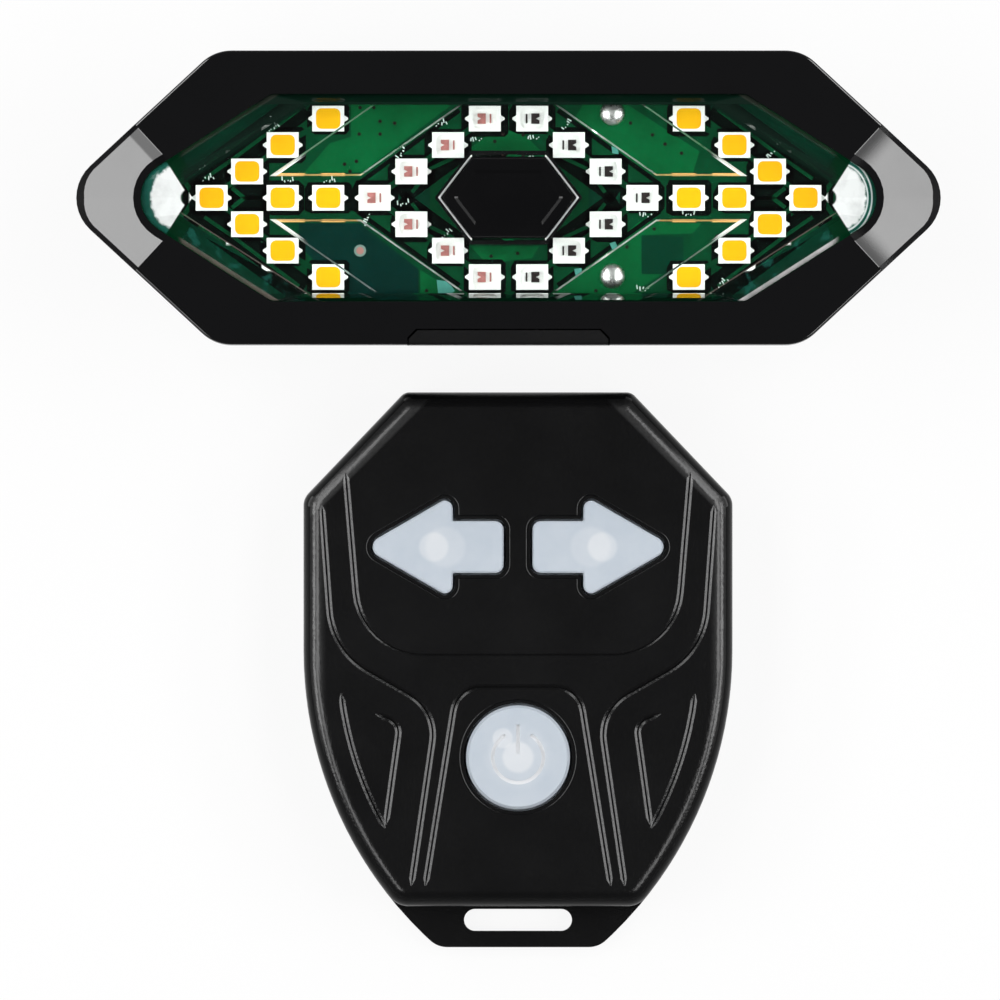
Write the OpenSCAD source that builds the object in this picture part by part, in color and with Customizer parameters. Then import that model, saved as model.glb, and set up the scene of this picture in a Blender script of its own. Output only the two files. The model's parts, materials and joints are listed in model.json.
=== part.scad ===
// Bicycle turn signal light with its wireless remote. Sizes in mm, +Z out of the front faces.

/* [Layout] */
// Clear space between the light and the remote
unit_gap = 5.1; // [4.5:0.1:8]
// Sideways place of the remote from the middle of the light
remote_x = 1.05; // [-3:0.05:3]

/* [Light body] */
// Width of the light over its two tips
light_w = 95; // [94:0.5:99]
// Height of the light
light_h = 32.4; // [32:0.1:34]
// Angle of the slanted ends, degrees
light_slope = 42.8; // [42:0.2:44]
// Corner radius of the outline
light_corner_r = 4.8; // [4.2:0.1:5.4]
// Depth of the front bezel
bezel_h = 10.4; // [10.2:0.1:12]
// Depth of the rear shell
rear_h = 6.6; // [6.6:0.1:9]
// Rounding of the front edge
front_round = 0.3; // [0.2:0.1:1]
// How far the rear floor is drawn in from the outline
rear_taper = 2.5; // [2:0.1:2.6]
// Wall of the rear shell at its rim
rear_wall = 3.2; // [3.1:0.1:3.3]
// Thickness of the rear floor
rear_floor = 1.8; // [1.6:0.1:2.2]
// Thickness of the bezel's front wall
front_wall = 2.8; // [2.6:0.1:3.2]
// Downward tilt of the tip facets, degrees
tip_tilt = 17; // [14:1:18]
// Distance from the tip at which the facets start
tip_reach = 7.1; // [6.8:0.1:8]
// Half height at which the facets start
tip_half = 7.4; // [7.2:0.1:8.2]
// Chamfer along the rim of the tip facets
tip_rim = 0.6; // [0.4:0.1:0.8]
// Width of the collar round the tips of the lens
collar_w = 0.8; // [0.7:0.1:1.1]

/* [Lens] */
// Width of the lens window over its tips
window_w = 80.8; // [79.6:0.2:81.2]
// Angle of the slanted window edges, degrees
window_slope = 32.5; // [32:0.1:33]
// Tip radius of the lens window
window_tip_r = 4.1; // [3.6:0.1:4.4]
// Clear gap round the lens
lens_clear = 0.08; // [0.05:0.01:0.12]
// Height of the lens face over the bezel
lens_rise = 0.8; // [0.6:0.1:1]
// Depth of the lens edge under the bezel face
lens_sink = 0.5; // [0.4:0.1:0.7]
// Bevel width along the slanted sides
bevel_side = 2.8; // [2.4:0.1:3]
// Bevel width along the long sides
bevel_long = 0.9; // [0.7:0.1:1.2]
// Thickness of the lens over the LEDs
lens_roof = 2.3; // [2:0.1:2.5]
// Width of the hidden flange round the lens
lens_flange = 1.2; // [1:0.1:1.3]
// Height of the hidden flange
flange_h = 2.2; // [2.2:0.1:2.6]
// Thickness of the lens wall along the long sides
lens_wall = 1.05; // [0.9:0.05:1.1]
// Depth of the light-guide steps inside the lens
guide_h = 0.9; // [0.6:0.1:1]
// Draft of the light-guide steps
guide_draft = 0.2; // [0.1:0.05:0.3]
// Angle of the light-guide steps, degrees
guide_angle = 35; // [34:0.5:36]

/* [LED board] */
// Thickness of the board
board_t = 1.6; // [1.2:0.1:1.6]
// Length of an LED package
led_l = 3.5; // [3.3:0.1:3.6]
// Width of an LED package
led_w = 2.8; // [2.6:0.1:2.8]
// Height of an LED package
led_t = 0.8; // [0.7:0.1:0.9]
// How far the solder ends stand out of an LED package
led_nub = 0.42; // [0.3:0.02:0.5]
// Row pitch of the LEDs
led_pitch = 2.9; // [2.85:0.05:3]
// Clear space between the LEDs and the lens wall
led_gap = 0.25; // [0.2:0.05:0.3]
// Tip of the amber arrows from the middle
amber_tip = 32.6; // [32:0.1:33]
// Inner end of the amber arrows' arms from the middle
amber_inner = 20.9; // [20.6:0.1:21.2]
// Extra step of the last amber pair
amber_last = 1.1; // [0.8:0.1:1.2]
// Tip of the red ring from the middle
red_tip = 14.7; // [14.4:0.1:15]
// Innermost red pair from the middle
red_inner = 2.6; // [2.5:0.05:2.7]

/* [Mode button] */
// Width of the mode button
mode_w = 14.5; // [13.8:0.1:14.8]
// Height of the mode button
mode_h = 8.7; // [8.5:0.1:9]
// Angle of its slanted sides, degrees
mode_slope = 52.5; // [51:0.5:54]
// Travel of the mode button
mode_travel = 0.5; // [0.3:0.1:0.6]
// Gap round the mode button
mode_gap = 0.15; // [0.12:0.01:0.25]

/* [Charging port] */
// Width of the cover flap
flap_w = 21.9; // [20:0.1:23]
// Thickness of the cover flap
flap_t = 1.65; // [1.5:0.05:1.7]
// Gap round the cover flap
flap_gap = 0.15; // [0.12:0.01:0.2]
// Width of the charging socket
usb_w = 8.94; // [8.8:0.01:9]
// Height of the charging socket
usb_h = 3.2; // [3.1:0.01:3.26]
// Depth of the charging socket
usb_d = 7.3; // [6.6:0.1:7.5]

/* [Seat-post saddle] */
// Seat-post diameter
post_d = 27.2; // [27:0.1:27.6]
// Half of the angle that the saddle wraps round the post
wrap_angle = 65; // [64:0.5:66]
// Thickness of the rubber pad
pad_t = 1.2; // [1:0.1:1.3]
// Saddle thickness over the pad
saddle_web = 2.3; // [2.2:0.1:3]
// Width of the saddle
saddle_w = 36; // [35:0.5:40]
// Length of the saddle along the post
saddle_len = 27; // [26:0.5:27]

/* [Remote body] */
// Width of the remote
remote_w = 47.3; // [47:0.1:49]
// Length of the remote with its strap lug
remote_len = 61.2; // [61:0.1:62]
// Length of the top edge
top_edge = 25; // [24:0.2:26]
// Drop of the slanted shoulders
shoulder_drop = 11.7; // [11.2:0.1:12]
// Where the flanks begin to curve, from the top edge
flank_start = 28.5; // [28:0.1:29]
// Radius of the curved flanks
flank_r = 43.6; // [43:0.2:45]
// Length of the strap tab below the shell
tab_len = 4.55; // [4.3:0.05:4.6]
// Height of the base
base_h = 4.5; // [4.3:0.1:4.8]
// Height of the top shell over the base
shell_h = 8.1; // [8:0.1:8.6]
// Rounding of the top shell's edge
shell_round = 2; // [1.7:0.1:2.2]
// Wall of the two shells
shell_wall = 2; // [1.8:0.1:2]
// Thickness of the strap lug
lug_t = 2.6; // [2.2:0.1:3]
// Length of the strap slot
slot_l = 11.9; // [11:0.1:12.5]
// Width of the strap slot
slot_w = 2.42; // [2.2:0.02:2.6]
// Half width of the decorative grooves
groove_w = 0.35; // [0.3:0.05:0.45]
// Depth of the decorative grooves
groove_d = 0.4; // [0.3:0.05:0.45]

/* [Remote keys] */
// Length of an arrow key
arrow_l = 14.4; // [14:0.1:14.6]
// Space between the two arrow keys
arrow_space = 3.2; // [3:0.1:3.6]
// Length of an arrow's shaft
arrow_shaft_l = 5.6; // [5.4:0.1:5.8]
// Height of an arrow's shaft
arrow_shaft_h = 5.66; // [5.4:0.02:5.8]
// Half angle of an arrow's head, degrees
arrow_angle = 30; // [29:0.5:30.5]
// Distance of the arrow keys from the top edge
arrow_y = 17.05; // [16.8:0.05:17.4]
// Radius of the power key
power_r = 5.72; // [5.5:0.02:5.8]
// Distance of the power key from the top edge
power_y = 40.2; // [40:0.1:40.6]
// Gap round the keys
key_gap = 0.25; // [0.2:0.05:0.3]
// Travel of the keys
key_travel = 0.6; // [0.4:0.1:0.6]
// Height of the keys over the shell
key_rise = 0.3; // [0.2:0.1:0.4]
// Radius of the stems under the keys
stem_r = 1.65; // [1.5:0.05:1.7]

/* [Remote battery] */
// Radius of the coin cell
cell_r = 10; // [9.9:0.05:10]
// Thickness of the coin cell
cell_t = 3.2; // [3.1:0.1:3.2]
// Radius of the battery cap
cap_r = 12; // [11.9:0.05:12.2]
// Distance of the battery cap from the top edge
cap_y = 31; // [30.5:0.1:31.5]
// Gap round the battery cap
cap_gap = 0.25; // [0.2:0.05:0.3]

/* [Hidden] */
$fn = 48;
eps = 0.01;
arc_n = 10;
flank_n = 18;

amber_step = (amber_tip - amber_inner) / 3;
red_step = (red_tip - red_inner) / 3;
window_h = 2 * (3 * led_pitch + led_w / 2 + led_gap + lens_wall);

shell_len = remote_len - tab_len;
total_len = light_h + unit_gap + remote_len;
light_y = total_len / 2 - light_h / 2;
remote_y = total_len / 2 - light_h - unit_gap;

post_r = post_d / 2;
axis_z = -post_r * cos(wrap_angle);
trough_r = post_r + pad_t;
saddle_h = axis_z + trough_r + saddle_web;
rear_z = saddle_h;
part_z = rear_z + rear_h;
front_z = part_z + bezel_h;
flange_z = front_z - front_wall;
board_top = flange_z - flange_h;
board_z = board_top - board_t;
lens_top = front_z + lens_rise;
lens_edge = front_z - lens_sink;
roof_z = lens_top - lens_roof;
floor_z = rear_z + rear_floor;

window_side_r = 1.2;
least_r = 0.3;
bezel_lean = 0.05;
arc_steps = [for (w = [0:10:90]) w];
rim_angle = 27;
rim_turns = 5;
board_lip = lens_flange + 0.1;
pocket_lip = board_lip + 0.2;
rear_curve = [[1, 0], [0.6, 0.12], [0.24, 0.36], [0, 1]];

lens_tip_tilt = tip_tilt + 4;
lens_tip_reach = 3.6;
lens_tip_half = 3.3;
lens_tip_wall = 3.5;
lens_tip_r = 2;
lens_inner_r = 0.6;
lens_root = 0.2;
flange_gap = 0.02;
hole_bevel = 0.44;
hole_bevel_h = 0.22;
guide_low = 2.4;
guide_top = window_h / 2 - lens_wall + guide_draft + eps;
guide_inner = red_tip + 1.5;
guide_outer = amber_tip - 6.5;

screw_x = 30.9;
screw_y = light_h / 2 - 4.2;
screw_r = 1;
screw_head_r = 1.9;
screw_head_t = 1.3;
screw_seat = 2;
screw_gap = 0.15;
screw_tip = 0.5;
head_gap = 0.2;
boss_wall = 0.5;
recess_w = 0.4;
pilot_h = 6;
saddle_screw_y = 10.4;
saddle_screw_r = 1.2;
saddle_head_r = 2;
saddle_head_t = 1.1;
saddle_seat = 1.2;
saddle_bite = 1.6;
saddle_boss_r = 2.2;
saddle_boss_h = 2.4;
saddle_side_h = saddle_h - 5;
saddle_top_w = saddle_w - 8;
ear_l = 18;
ear_w = 4.2;
ear_z = 1.6;
ear_t = 3.4;
ear_root = 1;
ear_slot_l = 13;
ear_slot_w = 2;
ear_slot_x = 0.6;

battery_l = 38;
battery_w = 15.6;
battery_t = 4.6;
battery_pad_t = 0.4;
battery_top = floor_z + battery_pad_t + battery_t;
pad_side = 2;
lead_r = 0.5;
lead_in = 2;
lead_y = 4;
prop_r = 1.5;
post_spots = [[23, 9.5], [35, 0]];
driver_l = 6;
driver_t = 1.2;
driver_spot = [7, 2.5];
coil_l = 4;
coil_t = 1.6;
coil_spot = [-13, 3];
filter_size = [1.2, 2, 0.6];
filter_pitch = 2.5;
filter_spot = [-6, 4];

led_well_l = led_l * 0.77;
led_well_w = led_w * 0.81;
led_well_r = 0.6;
led_well_z = led_t * 0.3;
led_fill_t = led_t * 0.65;
led_foot_w = 0.75;
led_foot_tip = 0.2;
led_foot_t = led_t * 0.4;
die_l = 0.9;
die_w = 1.15;
die_t = led_t * 0.35;
die_x = 0.35;
die_notch = 0.4;
bar_l = 0.18;
bar_w = 1;
bar_t = led_t * 0.2;
bar_x = -0.62;

mode_corner_r = 0.3;
mode_top = lens_top + 0.3;
mode_edge = 0.12;
mode_flange_t = 1;
mode_flange_lip = 0.8;
mode_rest = 0.05;
mode_foot = roof_z - mode_rest - mode_flange_t;
dish_in = 1.3;
dish_floor_in = 1.7;
dish_d = 0.2;
can_l = 6;
can_h = 1.6;
can_floor = 0.3;
stem_gap = 0.2;

flap_back = -light_h / 2 + flap_t;
flap_cut = 0.95;
hinge_r = 0.7;
hinge_y = -light_h / 2 + hinge_r;
hinge_z = part_z - 0.9;
hinge_l = 12;
hinge_gap = 0.3;
hinge_web = hinge_r * 1.2;
pin_r = 0.35;
pin_gap = 0.12;
pin_over = 2;
flap_foot = hinge_z + 1.3;
gasket_out = 1.9;
gasket_in = 2.7;
gasket_t = 0.7;
plug_d = 1.2;
plug_gap = 0.55;
plug_drop = 0.15;
port_gap = 0.28;
usb_y = -window_h / 2 - board_lip;
usb_z = board_z - usb_h / 2;
usb_wall = 0.3;
usb_back = 1;
tongue_w = 6.6;
tongue_t = 0.7;
tongue_in = 1.6;

shell_top = base_h + shell_h;
shell_under = shell_top - shell_wall;
shell_lean = 0.05;
top_corner_r = 1.3;
shoulder_r = 2;
low_corner_r = 2.75;
least_low_r = 0.4;
base_chamfer = 0.8;
base_floor = 1.6;
slot_in = 1.55;
groove_end = 0.2;
groove_taper = 0.8;
groove_low = 2.3 - shell_len;
groove_ease = 7;
groove_faint = 0.45;
groove_profile = [[-1.5, 0.21], [-0.28, -0.3], [-0.12, -1], [0.12, -1], [0.28, -0.3], [1.5, 0.21]];
rboard_z = 6;
rboard_t = 1;
rboard_top = rboard_z + rboard_t;
rboard_end = 3.8;
rboard_len = power_y + can_l / 2 + rboard_end;
rboard_gap = 3;
notch_gap = 0.4;
key_top = shell_top + key_rise;
key_flange_top = shell_under - 0.05;
key_flange_t = 0.8;
key_flange_lip = 0.9;
key_edge = 0.15;
key_lip = 0.35;
key_lip_d = 0.25;
arrow_tip_r = 1.1;
arrow_barb_r = 0.85;
arrow_neck_r = 0.2;
arrow_end_r = 0.9;
power_edge = 0.3;
sign_r = 2.8;
sign_w = 0.4;
sign_d = 0.25;
sign_bar = 3.2;
sign_bar_y = 0.4;
sign_open = 60;
stem_foot = rboard_top + can_floor + key_travel;
stem_root = 0.2;
arrow_stem_x = arrow_space / 2 + arrow_l - 6.9;
boss_r = 2.2;
boss_top = [18.3, -11];
boss_low = [9.5, -51];
rscrew_r = 0.8;
rscrew_gap = 0.25;
rscrew_head_r = 1.8;
rscrew_head_t = 1.3;
rscrew_seat = rscrew_head_t + 0.2;
rscrew_bite = 3.5;
rpilot_top = shell_under - 1;
prop_spots = [[16.5, -24], [14, -40]];
rled_size = [1.6, 0.8, 0.6];
rled_gap = 0.6;
cap_z = 0.1;
cap_t = 0.8;
cap_over = 0.02;
coin_slot = [12, 1.6, 0.5];
spigot_r = 10.8;
spigot_t = 1;
seal_r = 11.08;
seal_in = 0.4;
seal_t = 0.5;
seal_z = cap_t + 0.2;
cap_hole_r = 11.2;
cell_z = cap_z + cap_t + spigot_t + 0.05;
cell_step = 0.4;
cell_step_r = cell_r - 1.2;
contact_l = 14;
contact_w = 3;
contact_t = 0.3;
contact_leg = 2;

// Corner arc of a polygon at p1 between p0 and p2
function corner(p0, p1, p2, r, n) =
    let (u = (p0 - p1) / norm(p0 - p1))
    let (v = (p2 - p1) / norm(p2 - p1))
    let (a = acos(u * v) / 2)
    let (c = p1 + (u + v) / norm(u + v) * r / sin(a))
    let (s = p1 + u * r / tan(a) - c)
    let (turn = sign(v[0] * u[1] - v[1] * u[0]) * (180 - 2 * a))
    [for (k = [0:n])
        let (w = atan2(s[1], s[0]) + turn * k / n)
        c + r * [cos(w), sin(w)]];

// Closed outline with a radius at each corner, 0 keeps it sharp
function rounded(pts, rs, n = arc_n) =
    let (m = len(pts))
    [for (i = [0:m - 1])
        each (rs[i] == 0
            ? [pts[i]]
            : corner(pts[(i + m - 1) % m], pts[i], pts[(i + 1) % m], rs[i], n))];

// Open path with the same radius at each inner corner
function bent(pts, rs, n = arc_n) =
    let (m = len(pts))
    [for (i = [0:m - 1])
        each (i == 0 || i == m - 1
            ? [pts[i]]
            : corner(pts[i - 1], pts[i], pts[i + 1], rs[i - 1], n))];

// Long hexagon whose rounded tips reach the stated width
function hexa(w, h, slope, tip_r, side_r) =
    let (tip = w / 2 + tip_r * (1 / sin(slope) - 1))
    let (flat = tip - h / 2 / tan(slope))
    rounded(
        [[tip, 0], [flat, h / 2], [-flat, h / 2], [-tip, 0], [-flat, -h / 2], [flat, -h / 2]],
        [tip_r, side_r, side_r, tip_r, side_r, side_r]);

function light_outline(d) =
    hexa(light_w - 2 * d, light_h - 2 * d, light_slope, light_corner_r - d, light_corner_r - d);

function window_outline(d) =
    hexa(window_w - 2 * d, window_h - 2 * d, window_slope, window_tip_r - d, max(window_side_r - d, least_r));

function mode_outline(d) =
    hexa(mode_w - 2 * d, mode_h - 2 * d, mode_slope, mode_corner_r, mode_corner_r);

// Remote outline drawn in by d, cut off at the stated length
function remote_outline(d, length, low_r) =
    let (a = atan2(shoulder_drop, (remote_w - top_edge) / 2))
    let (x0 = top_edge / 2 - d * (1 - cos(a)) / sin(a))
    let (x1 = remote_w / 2 - d)
    let (y1 = -(d + (x1 - top_edge / 2) * sin(a)) / cos(a))
    let (r = flank_r - d)
    let (cx = remote_w / 2 - flank_r)
    let (end = asin((length - d - flank_start) / r))
    let (right = [for (k = [0:flank_n])
        let (w = end * k / flank_n)
        [cx + r * cos(w), -flank_start - r * sin(w)]])
    let (pts = concat(
        [[-x0, -d], [-x1, y1]],
        [for (p = right) [-p[0], p[1]]],
        [for (k = [0:flank_n]) right[flank_n - k]],
        [[x1, y1], [x0, -d]]))
    let (m = len(pts))
    rounded(pts, [for (i = [0:m - 1])
        i == 0 || i == m - 1 ? top_corner_r
        : i == 1 || i == m - 2 ? shoulder_r
        : i == flank_n + 2 || i == flank_n + 3 ? max(low_r - d, least_low_r) : 0]);

// Arrow that points to -X, grown by d, its middle line on y = 0
function arrow_outline(d) =
    let (tip_r = arrow_tip_r + d)
    let (barb_r = arrow_barb_r + d)
    let (end_r = arrow_end_r + d)
    let (tip = -arrow_l - d - tip_r * (1 / sin(arrow_angle) - 1))
    let (back = -arrow_shaft_l + d)
    let (head = (back - tip) * tan(arrow_angle))
    let (half = arrow_shaft_h / 2 + d)
    rounded(
        [[tip, 0], [back, -head], [back, -half], [d, -half], [d, half], [back, half], [back, head]],
        [tip_r, barb_r, arrow_neck_r, end_r, end_r, arrow_neck_r, barb_r]);

// Solid through a stack of outlines with equal point counts
module loft(rings, heights) {
    m = len(rings[0]);
    k = len(rings);
    pts = [for (i = [0:k - 1]) for (p = rings[i]) [p[0], p[1], heights[i]]];
    sides = [for (i = [0:k - 2]) for (j = [0:m - 1])
        let (a = i * m + j)
        let (b = i * m + (j + 1) % m)
        each [[a, b + m, b], [a, a + m, b + m]]];
    polyhedron(pts, concat(
        [[for (j = [0:m - 1]) j]],
        [[for (j = [0:m - 1]) k * m - 1 - j]],
        sides));
}

// Groove tool with two shallow lips and a narrow floor. It fades out at both ends, and turns
// faint once it is further than strong from both
module vee_groove(path, strong) {
    m = len(path);
    run = [for (i = 0, s = 0; i < m; i = i + 1,
        s = s + (i < m ? norm(path[i] - path[i - 1]) : 0)) s];
    pts = [for (i = [0:m - 1])
        let (t = path[min(i + 1, m - 1)] - path[max(i - 1, 0)])
        let (side = [-t[1], t[0]] / norm(t))
        let (far = min(run[i], run[m - 1] - run[i]))
        let (weak = max(0, min(1, (far - strong) / groove_ease)))
        let (full = min(1, groove_end + (1 - groove_end) * far / groove_taper))
        let (f = full * (1 - (1 - groove_faint) * weak))
        let (w = groove_w * f)
        let (h = groove_d * f)
        each [for (q = groove_profile)
            let (p = path[i] + side * q[0] * w)
            [p[0], p[1], shell_top + q[1] * h]]];
    sides = [for (i = [0:m - 2]) for (j = [0:5])
        let (a = i * 6 + j)
        let (b = i * 6 + (j + 1) % 6)
        each [[a, b + 6, b], [a, a + 6, b + 6]]];
    z = (m - 1) * 6;
    polyhedron(pts, concat(sides,
        [[0, 1, 4], [0, 4, 5], [1, 2, 3], [1, 3, 4]],
        [[z, z + 4, z + 1], [z, z + 5, z + 4], [z + 1, z + 3, z + 2], [z + 1, z + 4, z + 3]]));
}

// Block with rounded vertical edges
module pill(l, w, h) {
    for (s = [-1, 1])
        translate([s * (l - w) / 2, 0, 0])
            cylinder(d = w, h = h);
    translate([-(l - w) / 2, -w / 2, 0])
        cube([l - w, w, h]);
}

module on_light() {
    translate([0, light_y, 0])
        children();
}

module on_remote() {
    translate([remote_x, remote_y, 0])
        children();
}

module both_sides() {
    children();
    mirror([1, 0, 0])
        children();
}

module four_ways() {
    both_sides() {
        children();
        mirror([0, 1, 0])
            children();
    }
}

module bezel_form() {
    loft(
        concat([light_outline(0)],
            [for (w = arc_steps) light_outline(bezel_lean + front_round * (1 - cos(w)))]),
        concat([part_z], [for (w = arc_steps) front_z - front_round * (1 - sin(w))]));
}

// Everything over the upper right tip facet, with a chamfer that follows the rounded tip
module tip_cut() {
    start = [light_w / 2 - tip_reach, tip_half];
    tip = [light_w / 2 - light_corner_r, 0] - start;
    along = tip[0] * cos(light_slope) - tip[1] * sin(light_slope);
    across = tip[0] * sin(light_slope) + tip[1] * cos(light_slope);
    rim_r = light_corner_r - tip_rim;
    intersection() {
        translate([0, 0, part_z])
            cube([light_w, light_h, bezel_h * 2]);
        translate([start[0], start[1], front_z])
            rotate([0, 0, -light_slope])
                rotate([0, tip_tilt, 0])
                    union() {
                        translate([0, -light_w, 0])
                            cube([light_w, 2 * light_w, bezel_h]);
                        for (k = [0:rim_turns])
                            let (w = (90 - light_slope) * k / rim_turns)
                                translate([along + rim_r * sin(w), across + rim_r * cos(w), 0])
                                    rotate([0, 0, -w])
                                        rotate([-rim_angle, 0, 0])
                                            translate([-along, 0, 0])
                                                cube([2 * light_w, light_w, bezel_h]);
                    }
    }
}

module flap_plan(d) {
    w = flap_w / 2 + d;
    back = flap_back + d;
    out = -light_h / 2 - 1;
    polygon([[-w, out], [w, out], [w, back - flap_cut], [w - flap_cut, back], [flap_cut - w, back],
        [-w, back - flap_cut]]);
}

module light_bezel() {
    color("#151515")
        on_light()
            difference() {
                bezel_form();
                translate([0, 0, part_z - 1])
                    linear_extrude(flange_z - part_z + 1)
                        polygon(window_outline(-pocket_lip));
                translate([0, 0, part_z])
                    linear_extrude(bezel_h + 1)
                        polygon(window_outline(0));
                four_ways()
                    difference() {
                        tip_cut();
                        translate([0, 0, part_z])
                            linear_extrude(bezel_h * 2)
                                polygon(window_outline(-collar_w));
                    }
                translate([0, 0, part_z - 1])
                    linear_extrude(bezel_h + 2)
                        flap_plan(flap_gap);
                translate([0, flap_back - 1, usb_z])
                    rotate([-90, 0, 0])
                        pill(usb_w + 2 * port_gap, usb_h + 2 * port_gap, light_h / 4);
                four_ways()
                    translate([screw_x, screw_y, part_z - 1])
                        cylinder(r = screw_r, h = pilot_h + 1);
            }
}

// Everything over the upper right facet at the tip of the lens
module lens_tip_cut() {
    start = [window_w / 2 - lens_tip_reach, lens_tip_half];
    intersection() {
        translate([0, 0, part_z])
            cube([light_w, light_h, bezel_h * 2]);
        translate([start[0], start[1], lens_top])
            rotate([0, 0, -window_slope])
                rotate([0, lens_tip_tilt, 0])
                    translate([0, -light_w, 0])
                        cube([light_w, 2 * light_w, bezel_h]);
    }
}

function lens_face() =
    let (tip = window_w / 2 - lens_clear + window_tip_r * (1 / sin(window_slope) - 1)
        - bevel_side / sin(window_slope))
    let (half = window_h / 2 - bevel_long)
    let (flat = tip - half / tan(window_slope))
    rounded(
        [[tip, 0], [flat, half], [-flat, half], [-tip, 0], [-flat, -half], [flat, -half]],
        [for (k = [1:6]) lens_inner_r]);

// Leaning four-sided outline of a light-guide step, drawn in by d
function guide_outline(d) =
    let (lean = 1 / tan(guide_angle))
    let (side = d / sin(guide_angle))
    [for (p = [[-guide_outer + side, guide_low + d], [-guide_inner - side, guide_low + d],
        [-guide_inner - side, guide_top - d], [-guide_outer + side, guide_top - d]])
        [p[0] + (p[1] - guide_low) * lean, p[1]]];

// Raised step inside the lens between the amber arrow and the red ring
module light_guide() {
    loft([guide_outline(guide_draft), guide_outline(0), guide_outline(0)],
        [roof_z - guide_h, roof_z, roof_z + eps]);
}

module light_lens() {
    color("#dfe8ee")
        on_light()
            difference() {
                union() {
                    loft(
                        [window_outline(lens_clear), window_outline(lens_clear), lens_face()],
                        [flange_z - lens_root, lens_edge, lens_top]);
                    translate([0, 0, board_top])
                        linear_extrude(flange_h - flange_gap)
                            polygon(window_outline(-lens_flange));
                }
                difference() {
                    translate([0, 0, board_top - 1])
                        linear_extrude(roof_z - board_top + 1)
                            polygon(hexa(window_w - 2 * lens_tip_wall, window_h - 2 * lens_wall, window_slope,
                                lens_tip_r, lens_inner_r));
                    four_ways()
                        light_guide();
                }
                four_ways()
                    lens_tip_cut();
                translate([0, 0, roof_z - 1])
                    linear_extrude(lens_roof + 2)
                        polygon(mode_outline(-mode_gap));
                loft([mode_outline(-mode_gap), mode_outline(-mode_gap - hole_bevel)],
                    [lens_top - hole_bevel_h, lens_top + hole_bevel_h]);
            }
}

module rear_form() {
    loft([for (p = rear_curve) light_outline(rear_taper * p[0])],
        [for (p = rear_curve) rear_z + rear_h * p[1]]);
}

// Prop between the rear floor and the board
module board_prop(spot) {
    translate([spot[0], spot[1], floor_z - eps])
        cylinder(r = prop_r, h = board_z - floor_z + eps);
}

module light_rear_shell() {
    color("#1a1a1a")
        on_light()
            difference() {
                union() {
                    difference() {
                        rear_form();
                        translate([0, 0, floor_z])
                            linear_extrude(rear_h)
                                polygon(light_outline(rear_wall));
                    }
                    four_ways()
                        translate([screw_x, screw_y, floor_z - eps])
                            cylinder(r = screw_head_r + boss_wall, h = part_z - floor_z);
                    four_ways()
                        board_prop(post_spots[0]);
                    both_sides()
                        board_prop(post_spots[1]);
                    for (s = [-1, 1])
                        translate([0, s * saddle_screw_y, floor_z - eps])
                            cylinder(r = saddle_boss_r, h = saddle_boss_h);
                }
                four_ways()
                    translate([screw_x, screw_y, 0]) {
                        cylinder(r = screw_r + screw_gap, h = part_z + 1);
                        cylinder(r = screw_head_r + head_gap, h = rear_z + screw_seat);
                    }
                for (s = [-1, 1])
                    translate([0, s * saddle_screw_y, 0])
                        cylinder(r = saddle_screw_r, h = floor_z + saddle_bite + head_gap);
                translate([0, 0, part_z - gasket_t])
                    linear_extrude(1)
                        difference() {
                            polygon(light_outline(gasket_out));
                            polygon(light_outline(gasket_in));
                        }
                translate([-hinge_l / 2 - hinge_gap, -light_h / 2 - 1, hinge_z - hinge_r - hinge_gap])
                    cube([hinge_l + 2 * hinge_gap, 2 * hinge_r + hinge_gap + 1, rear_h]);
                hinge_bore(pin_r, hinge_l / 2 + pin_over);
            }
}

// Round bar along the hinge axis, out to half_l on both sides
module hinge_bore(r, half_l) {
    translate([-half_l, hinge_y, hinge_z])
        rotate([0, 90, 0])
            cylinder(r = r, h = 2 * half_l);
}

module light_gasket() {
    color("#2a2a2a")
        on_light()
            translate([0, 0, part_z - gasket_t])
                linear_extrude(gasket_t)
                    difference() {
                        polygon(light_outline(gasket_out));
                        polygon(light_outline(gasket_in));
                    }
}

module led_board() {
    color("#0b6b3a")
        on_light()
            translate([0, 0, board_z])
                linear_extrude(board_t)
                    polygon(window_outline(-board_lip));
}

function amber_spot(k) =
    [amber_tip - amber_step * abs(k) - (abs(k) == 3 ? amber_last : 0), led_pitch * k];

amber_spots = concat(
    [for (k = [-3:3]) amber_spot(k)],
    [[amber_spot(2)[0], 0], [amber_spot(3)[0], 0]]);
red_spots = [for (k = [-3:3]) [red_tip - red_step * abs(k), led_pitch * k]];

module at_leds(spots) {
    for (p = spots)
        translate([p[0], p[1], board_top])
            children();
}

// Block with rounded upright edges that fills the well of an LED
module led_well(h) {
    x = led_well_l / 2;
    y = led_well_w / 2;
    translate([0, 0, led_well_z])
        linear_extrude(h)
            polygon(rounded([[x, y], [-x, y], [-x, -y], [x, -y]], [for (k = [1:4]) led_well_r], 3));
}

// One LED package with pointed solder ends and a well
module led_package() {
    x = led_l / 2;
    tip = x + led_nub;
    y = led_foot_w / 2;
    t = led_foot_tip / 2;
    difference() {
        union() {
            translate([-x, -led_w / 2, 0])
                cube([led_l, led_w, led_t]);
            linear_extrude(led_foot_t)
                polygon([[x, y], [-x, y], [-tip, t], [-tip, -t], [-x, -y], [x, -y], [tip, -t], [tip, t]]);
        }
        led_well(led_t);
    }
}

// The die and its lead in one red LED
module led_chip() {
    x = die_l / 2;
    y = die_w / 2;
    n = die_notch / 2;
    translate([die_x, 0, led_well_z])
        linear_extrude(die_t)
            polygon([[-x, -y], [x, -y], [x, -n], [x - die_notch, 0], [x, n], [x, y], [-x, y]]);
    translate([bar_x - bar_l / 2, -bar_w / 2, led_well_z])
        cube([bar_l, bar_w, bar_t]);
}

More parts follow.
